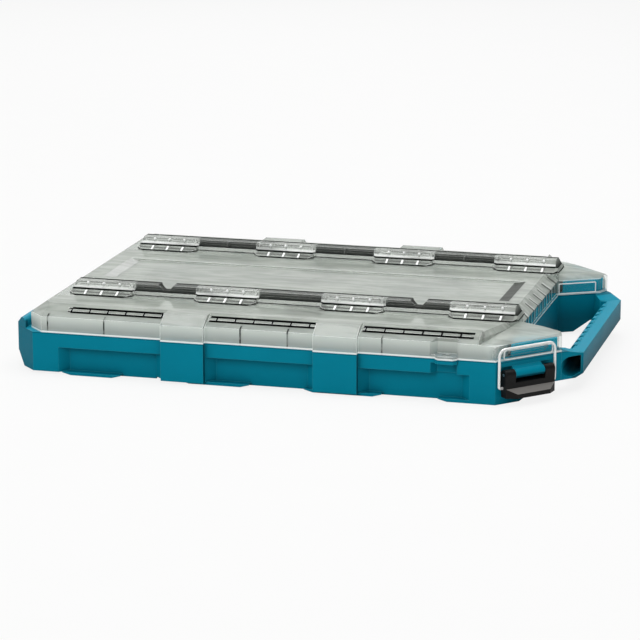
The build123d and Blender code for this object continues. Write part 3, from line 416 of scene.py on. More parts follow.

# %% [markdown]
# ## Edges that gather light
#
# At a rounded edge a clear plastic acts as a tiny lens, and shows a thin dark or bright line; here
# these lines are painted shade and painted highlight. A Bevel node finds the edges, as on the
# tray. Which line an edge gets goes by how it leans: painted dark where it leans back, away from
# the lamps in front, and painted bright where it leans to the front. At the latch end, edges that
# lean along the case are painted dark as well.

# %% Edges that gather light
agreement = add(tree, "ShaderNodeVectorMath", {
    0: rounded.outputs["Normal"], 1: true_normal}, operation="DOT_PRODUCT")
edge = add(tree, "ShaderNodeMapRange", {
    "Value": agreement.outputs["Value"], "From Min": 0.99, "From Max": 0.90})
lean = add(tree, "ShaderNodeSeparateXYZ", {"Vector": rounded.outputs["Normal"]})
leans_back = add(tree, "ShaderNodeMapRange", {
    "Value": lean.outputs["Y"], "From Min": 0.1, "From Max": 0.4, "To Max": 0.85})
leans_front = add(tree, "ShaderNodeMapRange", {
    "Value": lean.outputs["Y"], "From Min": -0.1, "From Max": -0.4, "To Max": 0.75})
side_lean = add(tree, "ShaderNodeMath", {0: lean.outputs["X"]}, operation="ABSOLUTE")
leans_side = add(tree, "ShaderNodeMapRange", {
    "Value": side_lean.outputs["Value"], "From Min": 0.12, "From Max": 0.4, "To Max": 0.7})
latch_end = add(tree, "ShaderNodeMath", {
    0: spot.outputs["X"], 1: case_end - 150 * mm}, operation="GREATER_THAN")
side_dark = add(tree, "ShaderNodeMath", {
    0: leans_side.outputs["Result"], 1: latch_end.outputs["Value"]},
    operation="MULTIPLY").outputs["Value"]
leans_dark = add(tree, "ShaderNodeMath", {
    0: side_dark, 1: leans_back.outputs["Result"]}, operation="MAXIMUM").outputs["Value"]
dark_edge = add(tree, "ShaderNodeMath", {
    0: edge.outputs["Result"], 1: leans_dark}, operation="MULTIPLY").outputs["Value"]
bright_edge = add(tree, "ShaderNodeMath", {
    0: edge.outputs["Result"], 1: leans_front.outputs["Result"]},
    operation="MULTIPLY").outputs["Value"]
# Painted shade and painted highlight: a near black and a near white that the marks below mix in.
shade = add(tree, "ShaderNodeBsdfDiffuse", {"Color": linear("#101211")})
painted_highlight = add(tree, "ShaderNodeBsdfDiffuse", {"Color": linear("#fafcfa")})
with_bright = add(tree, "ShaderNodeMixShader", {
    "Fac": bright_edge, 1: hazy.outputs["Shader"], 2: painted_highlight.outputs["BSDF"]})
edge_or_groove = add(tree, "ShaderNodeMath", {
    0: dark_edge, 1: groove}, operation="MAXIMUM").outputs["Value"]
with_dark = add(tree, "ShaderNodeMixShader", {
    "Fac": edge_or_groove, 1: with_bright.outputs["Shader"], 2: shade.outputs["BSDF"]})
print("nodes in the lid's plastic with its edges:", len(tree.nodes))

# %% [markdown]
# ## Lines along the stacking rails
#
# The rails are the busiest part of the lid. A rail takes turns between wide stretches on a broad
# foot and narrow ones with a hollow flute along each side. The marks on them are painted shade and
# painted highlight. The narrow ones are painted dark, most of all low in the flute. The wide ones
# keep their clear look, with a painted dark line at the ridge and a painted highlight just above
# it that is broken into glints. Both have a painted dark line at the foot and a painted black one
# on the rear half of the top. The saddle notches are painted dark on their slopes and floor.

# %% Where on a rail
wide_half = 32.5 * mm
front_or_rear = add(tree, "ShaderNodeMath", {0: spot.outputs["Y"]}, operation="SIGN")
from_rail = add(tree, "ShaderNodeMath", {
    0: front_or_rear.outputs["Value"], 1: -rail_y, 2: spot.outputs["Y"]}, operation="MULTIPLY_ADD")
from_wide = add(tree, "ShaderNodeMath", {
    0: spot.outputs["X"], 1: wide_x}, operation="SUBTRACT")
in_pitch = add(tree, "ShaderNodeMath", {
    0: from_wide.outputs["Value"], 1: -rail_pitch / 2, 2: rail_pitch / 2}, operation="WRAP")
off_middle = add(tree, "ShaderNodeMath", {0: in_pitch.outputs["Value"]}, operation="ABSOLUTE")
narrow = add(tree, "ShaderNodeMath", {
    0: off_middle.outputs["Value"], 1: wide_half}, operation="GREATER_THAN")
wide = add(tree, "ShaderNodeMath", {0: 1.0, 1: narrow.outputs["Value"]}, operation="SUBTRACT")
on_wide = add(tree, "ShaderNodeMath", {
    0: wide.outputs["Value"], 1: on_rail}, operation="MULTIPLY").outputs["Value"]
rail_top = add(tree, "ShaderNodeMath", {
    0: spot.outputs["Z"], 1: rail_z, 2: 0.3 * mm}, operation="COMPARE")
print("wide stretches of", round(2 * wide_half / mm), "mm, one every", round(rail_pitch / mm), "mm")

# %% Dark flutes and lines
flute_middle, flute_half = rail_z - 3.9 * mm, 3.4 * mm
far_strip = add(tree, "ShaderNodeMath", {
    0: from_rail.outputs["Value"], 1: 5.0 * mm, 2: 2.2 * mm}, operation="COMPARE")
far_line = add(tree, "ShaderNodeMath", {
    0: rail_top.outputs["Value"], 1: far_strip.outputs["Value"]},
    operation="MULTIPLY").outputs["Value"]
flute_shade = add(tree, "ShaderNodeMapRange", {
    "Value": spot.outputs["Z"], "From Min": rail_z - 0.8 * mm, "From Max": rail_z - 7.2 * mm,
    "To Min": 0.45, "To Max": 0.97})
in_flute = add(tree, "ShaderNodeMath", {
    0: spot.outputs["Z"], 1: flute_middle, 2: flute_half}, operation="COMPARE")
flute = add(tree, "ShaderNodeMath", {
    0: flute_shade.outputs["Result"], 1: in_flute.outputs["Value"]},
    operation="MULTIPLY").outputs["Value"]
top_shade = add(tree, "ShaderNodeMath", {
    0: rail_top.outputs["Value"], 1: 0.55}, operation="MULTIPLY").outputs["Value"]
flute_or_top = add(tree, "ShaderNodeMath", {
    0: flute, 1: top_shade}, operation="MAXIMUM").outputs["Value"]
narrow_dark = add(tree, "ShaderNodeMath", {
    0: flute_or_top, 1: narrow.outputs["Value"]}, operation="MULTIPLY").outputs["Value"]
ridge_line = add(tree, "ShaderNodeMath", {
    0: spot.outputs["Z"], 1: deck_z + 4.5 * mm, 2: 0.55 * mm}, operation="COMPARE")
wide_ridge = add(tree, "ShaderNodeMath", {
    0: ridge_line.outputs["Value"], 1: wide.outputs["Value"]},
    operation="MULTIPLY").outputs["Value"]
foot_line = add(tree, "ShaderNodeMath", {
    0: spot.outputs["Z"], 1: deck_z + 0.5 * mm, 2: 0.45 * mm}, operation="COMPARE")
print("flutes start", round((flute_middle - flute_half) / mm, 1), "mm above the ground")

# %% Saddle notches
saddle_half, saddle_z = 8.2 * mm, rail_z - 6 * mm
in_saddle = add(tree, "ShaderNodeMath", {
    0: off_middle.outputs["Value"], 1: rail_pitch / 2, 2: saddle_half}, operation="COMPARE")
leaning = add(tree, "ShaderNodeMath", {0: facing.outputs["X"]}, operation="ABSOLUTE")
slope = add(tree, "ShaderNodeMath", {0: leaning.outputs["Value"], 1: 0.3}, operation="GREATER_THAN")
saddle_floor = add(tree, "ShaderNodeMath", {
    0: spot.outputs["Z"], 1: saddle_z, 2: 0.2 * mm}, operation="COMPARE")
slope_or_floor = add(tree, "ShaderNodeMath", {
    0: slope.outputs["Value"], 1: saddle_floor.outputs["Value"]},
    operation="MAXIMUM").outputs["Value"]
saddle = slope_or_floor
for mask in (in_saddle.outputs["Value"], 0.8):
    saddle = add(tree, "ShaderNodeMath", {
        0: saddle, 1: mask}, operation="MULTIPLY").outputs["Value"]
all_dark = narrow_dark
for mask in (wide_ridge, foot_line.outputs["Value"], saddle, far_line):
    all_dark = add(tree, "ShaderNodeMath", {
        0: all_dark, 1: mask}, operation="MAXIMUM").outputs["Value"]
rail_lines = add(tree, "ShaderNodeMath", {
    0: all_dark, 1: on_rail}, operation="MULTIPLY").outputs["Value"]
print("saddle floors at", round(saddle_z / mm, 1), "mm")

# %% Bright ridge with glints
bright_ridge = add(tree, "ShaderNodeMath", {
    0: spot.outputs["Z"], 1: deck_z + 6.1 * mm, 2: 1.0 * mm}, operation="COMPARE")
glints = add(tree, "ShaderNodeTexNoise", {
    "Vector": stretched.outputs["Vector"], "Scale": 1 / (9 * mm), "Detail": 0.5})
glint = add(tree, "ShaderNodeMapRange", {
    "Value": glints.outputs["Fac"], "From Min": 0.42, "From Max": 0.60,
    "To Min": 0.5, "To Max": 0.95})
shine = bright_ridge.outputs["Value"]
for mask in (on_wide, glint.outputs["Result"]):
    shine = add(tree, "ShaderNodeMath", {
        0: shine, 1: mask}, operation="MULTIPLY").outputs["Value"]
# Painted shade: dim patches between the glints on the wide stretches.
glint_gap = add(tree, "ShaderNodeMapRange", {
    "Value": glints.outputs["Fac"], "From Min": 0.44, "From Max": 0.32, "To Max": 0.25})
glint_gaps = add(tree, "ShaderNodeMath", {
    0: glint_gap.outputs["Result"], 1: on_wide}, operation="MULTIPLY").outputs["Value"]
with_ridge = add(tree, "ShaderNodeMixShader", {
    "Fac": shine, 1: with_dark.outputs["Shader"], 2: painted_highlight.outputs["BSDF"]})
rail_shade = add(tree, "ShaderNodeMath", {
    0: rail_lines, 1: glint_gaps}, operation="MAXIMUM").outputs["Value"]
with_lines = add(tree, "ShaderNodeMixShader", {
    "Fac": rail_shade, 1: with_ridge.outputs["Shader"], 2: shade.outputs["BSDF"]})
print("nodes in the lid's plastic with its rails:", len(tree.nodes))

# %% [markdown]
# ## Ribs, the panel's ends, the notch and the rim
#
# Thin upright ribs behind the skirt show through as broken dark lines, painted as shade. The short
# slopes at both ends of the sunk panel get painted dark bars, much fainter at the hinge end. The
# slope down to the hand hole has upright ribs behind it, which the uneven plastic bends: a painted
# dark stroke and a painted light one beside it, every 26 mm, that wander a little. All along the
# seam the lid's rim gets one painted white line where it catches the light.

# %% Ribs behind the skirt
skirt_rib_places = (-240.0, -181.6, -42.6, 4.7, 98.4)    # along X, in mm
any_rib = 0.0
for rib_x in skirt_rib_places:
    mark = add(tree, "ShaderNodeMath", {
        0: spot.outputs["X"], 1: rib_x * mm, 2: 0.7 * mm}, operation="COMPARE")
    any_rib = add(tree, "ShaderNodeMath", {
        0: any_rib, 1: mark.outputs["Value"]}, operation="MAXIMUM").outputs["Value"]
broken = add(tree, "ShaderNodeMapRange", {
    "Value": scuffs.outputs["Fac"], "From Min": 0.40, "From Max": 0.52,
    "To Min": 0.35, "To Max": 0.9})
below_bevel = add(tree, "ShaderNodeMath", {
    0: spot.outputs["Z"], 1: deck_z - 7 * mm}, operation="LESS_THAN")
skirt_rib = any_rib
for mask in (broken.outputs["Result"], below_bevel.outputs["Value"]):
    skirt_rib = add(tree, "ShaderNodeMath", {
        0: skirt_rib, 1: mask}, operation="MULTIPLY").outputs["Value"]
print("ribs behind each side of the skirt:", len(skirt_rib_places))

# %% Slopes at the panel's ends
start_x, end_x, slope_half = -case_end + 53.8 * mm, case_end - 93.2 * mm, 5.6 * mm
panel_end = add(tree, "ShaderNodeMath", {
    0: spot.outputs["X"], 1: end_x, 2: slope_half}, operation="COMPARE")
panel_start = add(tree, "ShaderNodeMath", {
    0: spot.outputs["X"], 1: start_x, 2: slope_half}, operation="COMPARE")
faint_start = add(tree, "ShaderNodeMath", {
    0: panel_start.outputs["Value"], 1: 0.35}, operation="MULTIPLY").outputs["Value"]
in_panel = add(tree, "ShaderNodeMath", {
    0: across.outputs["Value"], 1: 43.5 * mm}, operation="LESS_THAN")
either_end = add(tree, "ShaderNodeMath", {
    0: panel_end.outputs["Value"], 1: faint_start}, operation="MAXIMUM").outputs["Value"]
panel_slopes = either_end
for mask in (in_panel.outputs["Value"], 0.62):
    panel_slopes = add(tree, "ShaderNodeMath", {
        0: panel_slopes, 1: mask}, operation="MULTIPLY").outputs["Value"]
print("panel slopes at", [round(x / mm, 1) for x in (start_x, end_x)], "mm")

# %% Ribs at the notch and the white rim
notch_rib_pitch = 26 * mm
past_deck = add(tree, "ShaderNodeMath", {
    0: spot.outputs["X"], 1: case_end - 72 * mm}, operation="GREATER_THAN")
between = add(tree, "ShaderNodeMath", {
    0: across.outputs["Value"], 1: 84 * mm}, operation="LESS_THAN")
at_notch = add(tree, "ShaderNodeMath", {
    0: past_deck.outputs["Value"], 1: between.outputs["Value"]},
    operation="MULTIPLY").outputs["Value"]
bends = add(tree, "ShaderNodeTexNoise", {"Vector": place, "Scale": 1 / (60 * mm), "Detail": 0.0})
wander = add(tree, "ShaderNodeMath", {
    0: bends.outputs["Fac"], 1: 34 * mm, 2: spot.outputs["Y"]}, operation="MULTIPLY_ADD")
in_rib_pitch = add(tree, "ShaderNodeMath", {
    0: wander.outputs["Value"], 1: -notch_rib_pitch / 2, 2: notch_rib_pitch / 2},
    operation="WRAP")
dark_stroke = add(tree, "ShaderNodeMath", {
    0: in_rib_pitch.outputs["Value"], 1: -2.2 * mm, 2: 2.2 * mm}, operation="COMPARE")
light_stroke = add(tree, "ShaderNodeMath", {
    0: in_rib_pitch.outputs["Value"], 1: 1.4 * mm, 2: 1.4 * mm}, operation="COMPARE")
notch_dark = dark_stroke.outputs["Value"]
for mask in (at_notch, 0.6):
    notch_dark = add(tree, "ShaderNodeMath", {
        0: notch_dark, 1: mask}, operation="MULTIPLY").outputs["Value"]
notch_light = light_stroke.outputs["Value"]
for mask in (at_notch, 0.4):
    notch_light = add(tree, "ShaderNodeMath", {
        0: notch_light, 1: mask}, operation="MULTIPLY").outputs["Value"]
rim = add(tree, "ShaderNodeMath", {
    0: spot.outputs["Z"], 1: seam_z + 0.9 * mm, 2: 0.8 * mm}, operation="COMPARE")
rim_or_notch = add(tree, "ShaderNodeMath", {
    0: rim.outputs["Value"], 1: notch_light}, operation="MAXIMUM").outputs["Value"]
rim_light = add(tree, "ShaderNodeMath", {
    0: rim_or_notch, 1: 0.85}, operation="MULTIPLY").outputs["Value"]
dark_marks = skirt_rib
for mask in (panel_slopes, notch_dark):
    dark_marks = add(tree, "ShaderNodeMath", {
        0: dark_marks, 1: mask}, operation="MAXIMUM").outputs["Value"]
with_marks = add(tree, "ShaderNodeMixShader", {
    "Fac": dark_marks, 1: with_lines.outputs["Shader"], 2: shade.outputs["BSDF"]})
with_rim = add(tree, "ShaderNodeMixShader", {
    "Fac": rim_light, 1: with_marks.outputs["Shader"], 2: painted_highlight.outputs["BSDF"]})
print("nodes in the lid's plastic with all its marks:", len(tree.nodes))

# %% [markdown]
# ## Lamp light under the lid
#
# A path tracer can't aim at a lamp through solid plastic that bends light, so everything under
# the lid would stay dark. For shadow rays alone, the lid is therefore a faintly tinted film, and
# lamp light reaches the foam, the blocks and the rails.

# %% Let light through
film = add(tree, "ShaderNodeBsdfTransparent", {"Color": linear("#f0f3f1")})
shadow = add(tree, "ShaderNodeLightPath").outputs["Is Shadow Ray"]
lamp_lit = add(tree, "ShaderNodeMixShader", {
    "Fac": shadow, 1: with_rim.outputs["Shader"], 2: film.outputs["BSDF"]})
add(tree, "ShaderNodeOutputMaterial", {"Surface": lamp_lit.outputs["Shader"]})
dress(clear, "lid_shell")

# %% [markdown]
# ## Rib ends on the stacking rails
#
# Cross ribs stiffen the wide stretches of the rails from below. Where each of them meets the
# outer skin the plastic is thicker, and a small frosted swelling shows on the outside: one near
# the rail's top and a longer one on its foot. They are near white, a painted highlight for the
# bright spot that shows there. One of each kind is made from a box with rounded edges, turned to
# lie along the face that it stands on, and then copied along both rails. Three ribs stand in each
# wide stretch, a little further apart in the last one. The frosting is a grain too fine to show
# from this far, so it is drawn at 1.2 mm.

# %% Frosted polycarbonate, painted near white as a highlight
frost_size = 1.2 * mm
frost_and_highlight, tree = empty_material("polycarbonate_frost_and_highlight")
place = add(tree, "ShaderNodeTexCoord").outputs["Object"]
frost = add(tree, "ShaderNodeTexNoise", {"Vector": place, "Scale": 1 / frost_size, "Detail": 2.0})
# Painted highlight: the rib ends and window frames are near white.
painted_white_tone = add(tree, "ShaderNodeMix", {
    "Factor": frost.outputs["Fac"], "A": linear("#f6f9f7"), "B": linear("#ffffff")},
    data_type="RGBA")
frosty = add(tree, "ShaderNodeBump", {
    "Height": frost.outputs["Fac"], "Distance": 0.1 * mm, "Strength": 0.4})
frost_and_highlight_surface = add(tree, "ShaderNodeBsdfPrincipled", {
    "Base Color": painted_white_tone.outputs["Result"], "Roughness": 0.45, "IOR": 1.585,
    "Normal": frosty.outputs["Normal"]})
add(tree, "ShaderNodeOutputMaterial", {"Surface": frost_and_highlight_surface.outputs["BSDF"]})
print("frost grain drawn at", round(frost_size / mm, 1), "mm")

# %% Rib ends
def rib_end(name, x, y, z, size, tilt):
    """A small box with rounded edges, tilted about X to lie on its face."""
    bpy.ops.object.select_all(action="DESELECT")
    bpy.ops.mesh.primitive_cube_add(size=1, location=(x, y, z))
    made = bpy.context.object
    made.name, made.scale = name, size
    bpy.ops.object.transform_apply(location=False, rotation=False, scale=True)
    made.rotation_euler = (tilt, 0, 0)
    bpy.ops.object.transform_apply(location=True, rotation=True, scale=True)
    bevel = made.modifiers.new("rounded", "BEVEL")
    bevel.width, bevel.segments = 0.6 * mm, 3
    bpy.ops.object.modifier_apply(modifier=bevel.name)
    bpy.ops.object.shade_smooth_by_angle(angle=radians(40))
    dress(frost_and_highlight, name)
    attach(made, "lid")
    return made


def copy_at(source, name, dx, across_to):
    """A copy with a mesh of its own, moved along the case by dx and placed in Y by a function."""
    mesh = source.data.copy()
    for vertex in mesh.vertices:
        vertex.co.x += dx
        vertex.co.y = across_to(vertex.co.y)
    if across_to(1) < across_to(0):
        mesh.flip_normals()
    made = bpy.data.objects.new(name, mesh)
    bpy.context.scene.collection.objects.link(made)
    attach(made, "lid")


rib_step, last_step = 16.5 * mm, 17.45 * mm
last_start = rail_pitch + 1.45 * mm
first_x = wide_x - rib_step
top_out, foot_out = 7.7 * mm, 16.8 * mm    # from the rail's middle line, across the case
top_end = rib_end("rail_rib_top_front_a_1", first_x, -rail_y - top_out, rail_z - 1.7 * mm,
                  (2.2 * mm, 2.4 * mm, 2.6 * mm), radians(-26))
foot_end = rib_end("rail_rib_foot_front_a_1", first_x, -rail_y - foot_out, deck_z + 2.1 * mm,
                   (2.2 * mm, 8.0 * mm, 1.2 * mm), radians(20))
faces = {"front_a": lambda y: y, "front_b": lambda y: -2 * rail_y - y,
         "rear_a": lambda y: y + 2 * rail_y, "rear_b": lambda y: -y}
ribs = (0, 1, 2)
shifts = [stretch * rail_pitch + rib * rib_step for stretch in (-2, -1, 0) for rib in ribs]
shifts += [last_start + rib * last_step for rib in ribs]
shifts.insert(0, shifts.pop(shifts.index(0)))    # number 1 is the pair made above
for number, dx in enumerate(shifts, 1):
    for face, across_to in faces.items():
        for kind, source in (("top", top_end), ("foot", foot_end)):
            name = f"rail_rib_{kind}_{face}_{number}"
            if name != source.name:
                copy_at(source, name, dx, across_to)
print("rib ends of each kind on a side of a rail:", len(shifts))

# %% [markdown]
# ## Window frames on the towers
#
# The teal blocks of the tray show through a clear window in each tower's side, behind the latch
# and beside the hand hole. Each window has a thin raised frame, which a moulding tool gets as a
# shallow groove cut round a flat. The frames are near white, a painted highlight for the bright
# lines along the windows' edges. A plane is given rounded corners, its middle is taken out by
# insetting, the rest is extruded to a thickness of 0.9 mm, and the frame is then stood up
# against its wall. The frames on the other side of the case are mirrored copies.

# %% Window frames
frame_bar = 0.9 * mm


def window_frame(name, start, turn, length, low, high, corner):
    """A frame that stands on a wall that starts at a point and runs in direction turn."""
    bpy.ops.object.select_all(action="DESELECT")
    bpy.ops.mesh.primitive_plane_add(size=1, location=(0, 0, 0))
    made = bpy.context.object
    made.name, made.scale = name, (length, high - low, 1)
    bpy.ops.object.transform_apply(location=False, rotation=False, scale=True)
    bpy.ops.object.mode_set(mode="EDIT")
    bpy.ops.mesh.select_all(action="SELECT")
    bpy.ops.mesh.bevel(offset=corner, segments=5, affect="VERTICES")
    bpy.ops.mesh.select_all(action="SELECT")
    bpy.ops.mesh.inset(thickness=frame_bar)
    bpy.ops.mesh.delete(type="FACE")
    bpy.ops.mesh.select_all(action="SELECT")
    bpy.ops.mesh.extrude_region_move(TRANSFORM_OT_translate={"value": (0, 0, frame_bar)})
    bpy.ops.mesh.select_all(action="SELECT")
    bpy.ops.mesh.normals_make_consistent(inside=False)
    bpy.ops.object.mode_set(mode="OBJECT")
    made.rotation_euler = (radians(90), 0, turn)
    made.location = (start[0] + cos(turn) * length / 2, start[1] + sin(turn) * length / 2,
                     (low + high) / 2)
    bpy.ops.object.transform_apply(location=True, rotation=True, scale=True)
    # Painted highlight: the frame takes the near white frosted material.
    dress(frost_and_highlight, name)
    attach(made, "lid")
    print(name, "has", len(made.data.polygons), "faces")
    return made


latch_turn = radians(47)
corner_x, corner_y = case_end - 70.8 * mm, -half_depth    # where the latch's corner is cut
inset, outward = 9 * mm, 0.1 * mm
latch_start = (corner_x + cos(latch_turn) * inset + sin(latch_turn) * outward,
               corner_y + sin(latch_turn) * inset - cos(latch_turn) * outward)
latch_window = window_frame("latch_window_frame_front", latch_start, latch_turn, 57.5 * mm,
                            seam_z + 0.5 * mm, seam_z + 10.4 * mm, 3 * mm)
copy_at(latch_window, "latch_window_frame_rear", 0, lambda y: -y)
notch_start = (case_end - 63 * mm, 96.3 * mm)
notch_window = window_frame("notch_window_frame_rear", notch_start, radians(30), 41 * mm,
                            seam_z + 1.2 * mm, seam_z + 12.6 * mm, 1 * mm)
copy_at(notch_window, "notch_window_frame_front", 0, lambda y: -y)

# %% [markdown]
# ## Black nylon for the latch levers, the arbor and the knob
#
# The levers are moulded in glass-filled nylon, which is near black, tough and slightly uneven:
# the glass fibres come to the surface as faint specks. They are 0.3 mm, drawn at 0.9 mm. The
# slanting lip at a lever's lower end catches more light than a black this deep gives back, so
# that face is painted a mid grey as a painted highlight.

# %% Black nylon
nylon, tree = empty_material("nylon_black")
place = add(tree, "ShaderNodeTexCoord").outputs["Object"]
specks = add(tree, "ShaderNodeTexNoise", {"Vector": place, "Scale": 1 / (0.9 * mm), "Detail": 3.0})
speckled = add(tree, "ShaderNodeMix", {
    "Factor": specks.outputs["Fac"], "A": linear("#0b0b0b"), "B": linear("#191919")},
    data_type="RGBA")
facing = add(tree, "ShaderNodeSeparateXYZ", {
    "Vector": add(tree, "ShaderNodeNewGeometry").outputs["Normal"]})
spot = add(tree, "ShaderNodeSeparateXYZ", {"Vector": place})
at_lip = add(tree, "ShaderNodeMath", {
    0: spot.outputs["Z"], 1: seam_z - 22 * mm}, operation="LESS_THAN")
slanted = add(tree, "ShaderNodeMapRange", {
    "Value": facing.outputs["Z"], "From Min": 0.1, "From Max": 0.35})
on_lip = add(tree, "ShaderNodeMath", {
    0: at_lip.outputs["Value"], 1: slanted.outputs["Result"]},
    operation="MULTIPLY").outputs["Value"]
# Painted highlight: the lip's slanting face is set to a mid grey.
lip_highlighted = add(tree, "ShaderNodeMix", {
    "Factor": on_lip, "A": speckled.outputs["Result"], "B": linear("#72706d")},
    data_type="RGBA")
rounded = add(tree, "ShaderNodeBevel", {"Radius": 0.5 * mm}, samples=6)
rough_skin = add(tree, "ShaderNodeBump", {
    "Height": specks.outputs["Fac"], "Distance": 0.1 * mm, "Strength": 0.3,
    "Normal": rounded.outputs["Normal"]})
uneven = add(tree, "ShaderNodeMapRange", {
    "Value": specks.outputs["Fac"], "To Min": 0.32, "To Max": 0.46})
nylon_surface = add(tree, "ShaderNodeBsdfPrincipled", {
    "Base Color": lip_highlighted.outputs["Result"], "Roughness": uneven.outputs["Result"],
    "IOR": 1.53, "Specular IOR Level": 0.15, "Normal": rough_skin.outputs["Normal"]})
add(tree, "ShaderNodeOutputMaterial", {"Surface": nylon_surface.outputs["BSDF"]})
dress(nylon, "latch_lever_front", "latch_lever_rear", "blade_arbor", "clamp_knob")

# %% [markdown]
# ## Bright wire, ground steel and zinc plate
#
# The bails are spring wire with a bright nickel plate. It is drawn through a die, and on a wire
# this thin the fine lines that are left only soften the reflection. In a pale studio it reads
# nearly white. A full metal would also mirror the dim half of this lesson's room, so the shader
# has a pale base colour, a painted reflection of the bright studio, and a small share of metal.
# The pins are ground steel, duller, and the screws, the washer and the stud are zinc plated, with
# the slightly cloudy, bluish look that plating leaves. All three follow one fine pattern in tone
# and in roughness, so one function makes them.

# %% Three metals
def fine_metal(name, pattern, drive, tones, roughness, metal_share=1.0):
    """A metal whose tone and roughness both follow one output of a fine pattern."""
    kind, inputs = pattern
    material, tree = empty_material(name)
    place = add(tree, "ShaderNodeTexCoord").outputs["Object"]
    marks = add(tree, kind, {"Vector": place, **inputs}).outputs[drive]
    tone = add(tree, "ShaderNodeMix", {
        "Factor": marks, "A": linear(tones[0]), "B": linear(tones[1])}, data_type="RGBA")
    polish = add(tree, "ShaderNodeMapRange", {
        "Value": marks, "To Min": roughness[0], "To Max": roughness[1]})
    surface = add(tree, "ShaderNodeBsdfPrincipled", {
        "Base Color": tone.outputs["Result"], "Metallic": metal_share,
        "Roughness": polish.outputs["Result"]})
    add(tree, "ShaderNodeOutputMaterial", {"Surface": surface.outputs["BSDF"]})
    return material


drawn = ("ShaderNodeTexNoise", {"Scale": 1 / (2.5 * mm), "Detail": 2.0})
spangle = ("ShaderNodeTexVoronoi", {"Scale": 1 / (3 * mm)})
grinding = ("ShaderNodeTexNoise", {"Scale": 1 / (0.8 * mm), "Detail": 2.0})
wire = fine_metal("steel_wire_nickel_plated", drawn, "Fac", ("#e9edea", "#ffffff"), (0.14, 0.30),
                  metal_share=0.35)
dress(wire, "wire_bail_front", "wire_bail_rear")
zinc = fine_metal("steel_zinc_plated", spangle, "Distance", ("#a9adb2", "#c6c9cc"), (0.28, 0.42))
dress(zinc, "arbor_stud", "arbor_screws", "clamp_washer")
ground = fine_metal("steel_ground", grinding, "Fac", ("#9a9c9e", "#c2c4c5"), (0.22, 0.38))
dress(ground, "hinge_pin_front", "hinge_pin_rear", "lever_pin_front", "lever_pin_rear")

# %% [markdown]
# ## Foam and divider sheet inside
#
# The foam is a closed-cell sheet, cut to size. Its skin is matt and pricked all over by cut
# cells of about 1 mm, drawn a little coarser, at 1.6 mm. The dividers are natural polypropylene
# sheet, off-white and waxy, with a fine haircell embossing.

# %% Closed-cell foam
foam, tree = empty_material("polyethylene_foam_grey")
place = add(tree, "ShaderNodeTexCoord").outputs["Object"]
cells = add(tree, "ShaderNodeTexVoronoi", {"Vector": place, "Scale": 1 / (1.6 * mm)})
patches = add(tree, "ShaderNodeTexNoise", {"Vector": place, "Scale": 1 / (35 * mm), "Detail": 2.0})
tone = add(tree, "ShaderNodeMix", {
    "Factor": patches.outputs["Fac"], "A": linear("#a9ada9"), "B": linear("#b9bdb9")},
    data_type="RGBA")
pitted = add(tree, "ShaderNodeBump", {
    "Height": cells.outputs["Distance"], "Distance": 0.5 * mm, "Strength": 0.5})
foam_surface = add(tree, "ShaderNodeBsdfPrincipled", {
    "Base Color": tone.outputs["Result"], "Roughness": 0.9, "IOR": 1.5,
    "Normal": pitted.outputs["Normal"]})
add(tree, "ShaderNodeOutputMaterial", {"Surface": foam_surface.outputs["BSDF"]})
dress(foam, "foam_liner")

# %% Natural polypropylene sheet
sheet, tree = empty_material("polypropylene_sheet_natural")
place = add(tree, "ShaderNodeTexCoord").outputs["Object"]
milky = add(tree, "ShaderNodeTexNoise", {"Vector": place, "Scale": 1 / (20 * mm), "Detail": 2.0})
tone = add(tree, "ShaderNodeMix", {
    "Factor": milky.outputs["Fac"], "A": linear("#bfc1bd"), "B": linear("#cdcfcb")},
    data_type="RGBA")
fine = add(tree, "ShaderNodeTexNoise", {"Vector": place, "Scale": 1 / (1.0 * mm), "Detail": 2.0})
haircell = add(tree, "ShaderNodeBump", {
    "Height": fine.outputs["Fac"], "Distance": 0.08 * mm, "Strength": 0.3})
sheet_surface = add(tree, "ShaderNodeBsdfPrincipled", {
    "Base Color": tone.outputs["Result"], "Roughness": 0.5, "IOR": 1.49,
    "Normal": haircell.outputs["Normal"]})
add(tree, "ShaderNodeOutputMaterial", {"Surface": sheet_surface.outputs["BSDF"]})
dress(sheet, *[f"blade_divider_{n}" for n in (1, 2, 3, 4)])

# %% [markdown]
# ## The floor and the room
#
# The case stands on a pale floor that runs out to the horizon. Its own colour is a light grey.
# For rays that come from the camera, straight or through the clear lid, it is mixed with plain
# white, so that it meets the white room with no seam and still keeps a soft shadow under the
# case. The room is white to the camera. It lights the case more from above than from the sides,
# and less from the handle's end, so that the cut corners there fall into shade. What mirrors and
# clear plastic show of it is bright behind the case and dim in front, so faces that turn to the
# front look darker than the deck.

# %% Floor
bpy.ops.object.select_all(action="DESELECT")
bpy.ops.mesh.primitive_circle_add(vertices=96, radius=12, fill_type="NGON", location=(0, 0, 0))
floor = bpy.context.object
floor.name = "floor"
pale, tree = empty_material("paper_white")
place = add(tree, "ShaderNodeTexCoord").outputs["Object"]
tooth = add(tree, "ShaderNodeTexNoise", {"Vector": place, "Scale": 1 / (60 * mm), "Detail": 2.0})
paper = add(tree, "ShaderNodeMix", {
    "Factor": tooth.outputs["Fac"], "A": linear("#cfcfce"), "B": linear("#d4d4d3")},
    data_type="RGBA")
matt = add(tree, "ShaderNodeBsdfDiffuse", {"Color": paper.outputs["Result"]})
white = add(tree, "ShaderNodeEmission", {"Color": [1, 1, 1, 1], "Strength": 1.0})
path = add(tree, "ShaderNodeLightPath")
seen = add(tree, "ShaderNodeMath", {
    0: path.outputs["Is Camera Ray"], 1: path.outputs["Is Transmission Ray"]},
    operation="MAXIMUM").outputs["Value"]
lift = add(tree, "ShaderNodeMath", {
    0: seen, 1: 0.85}, operation="MULTIPLY").outputs["Value"]
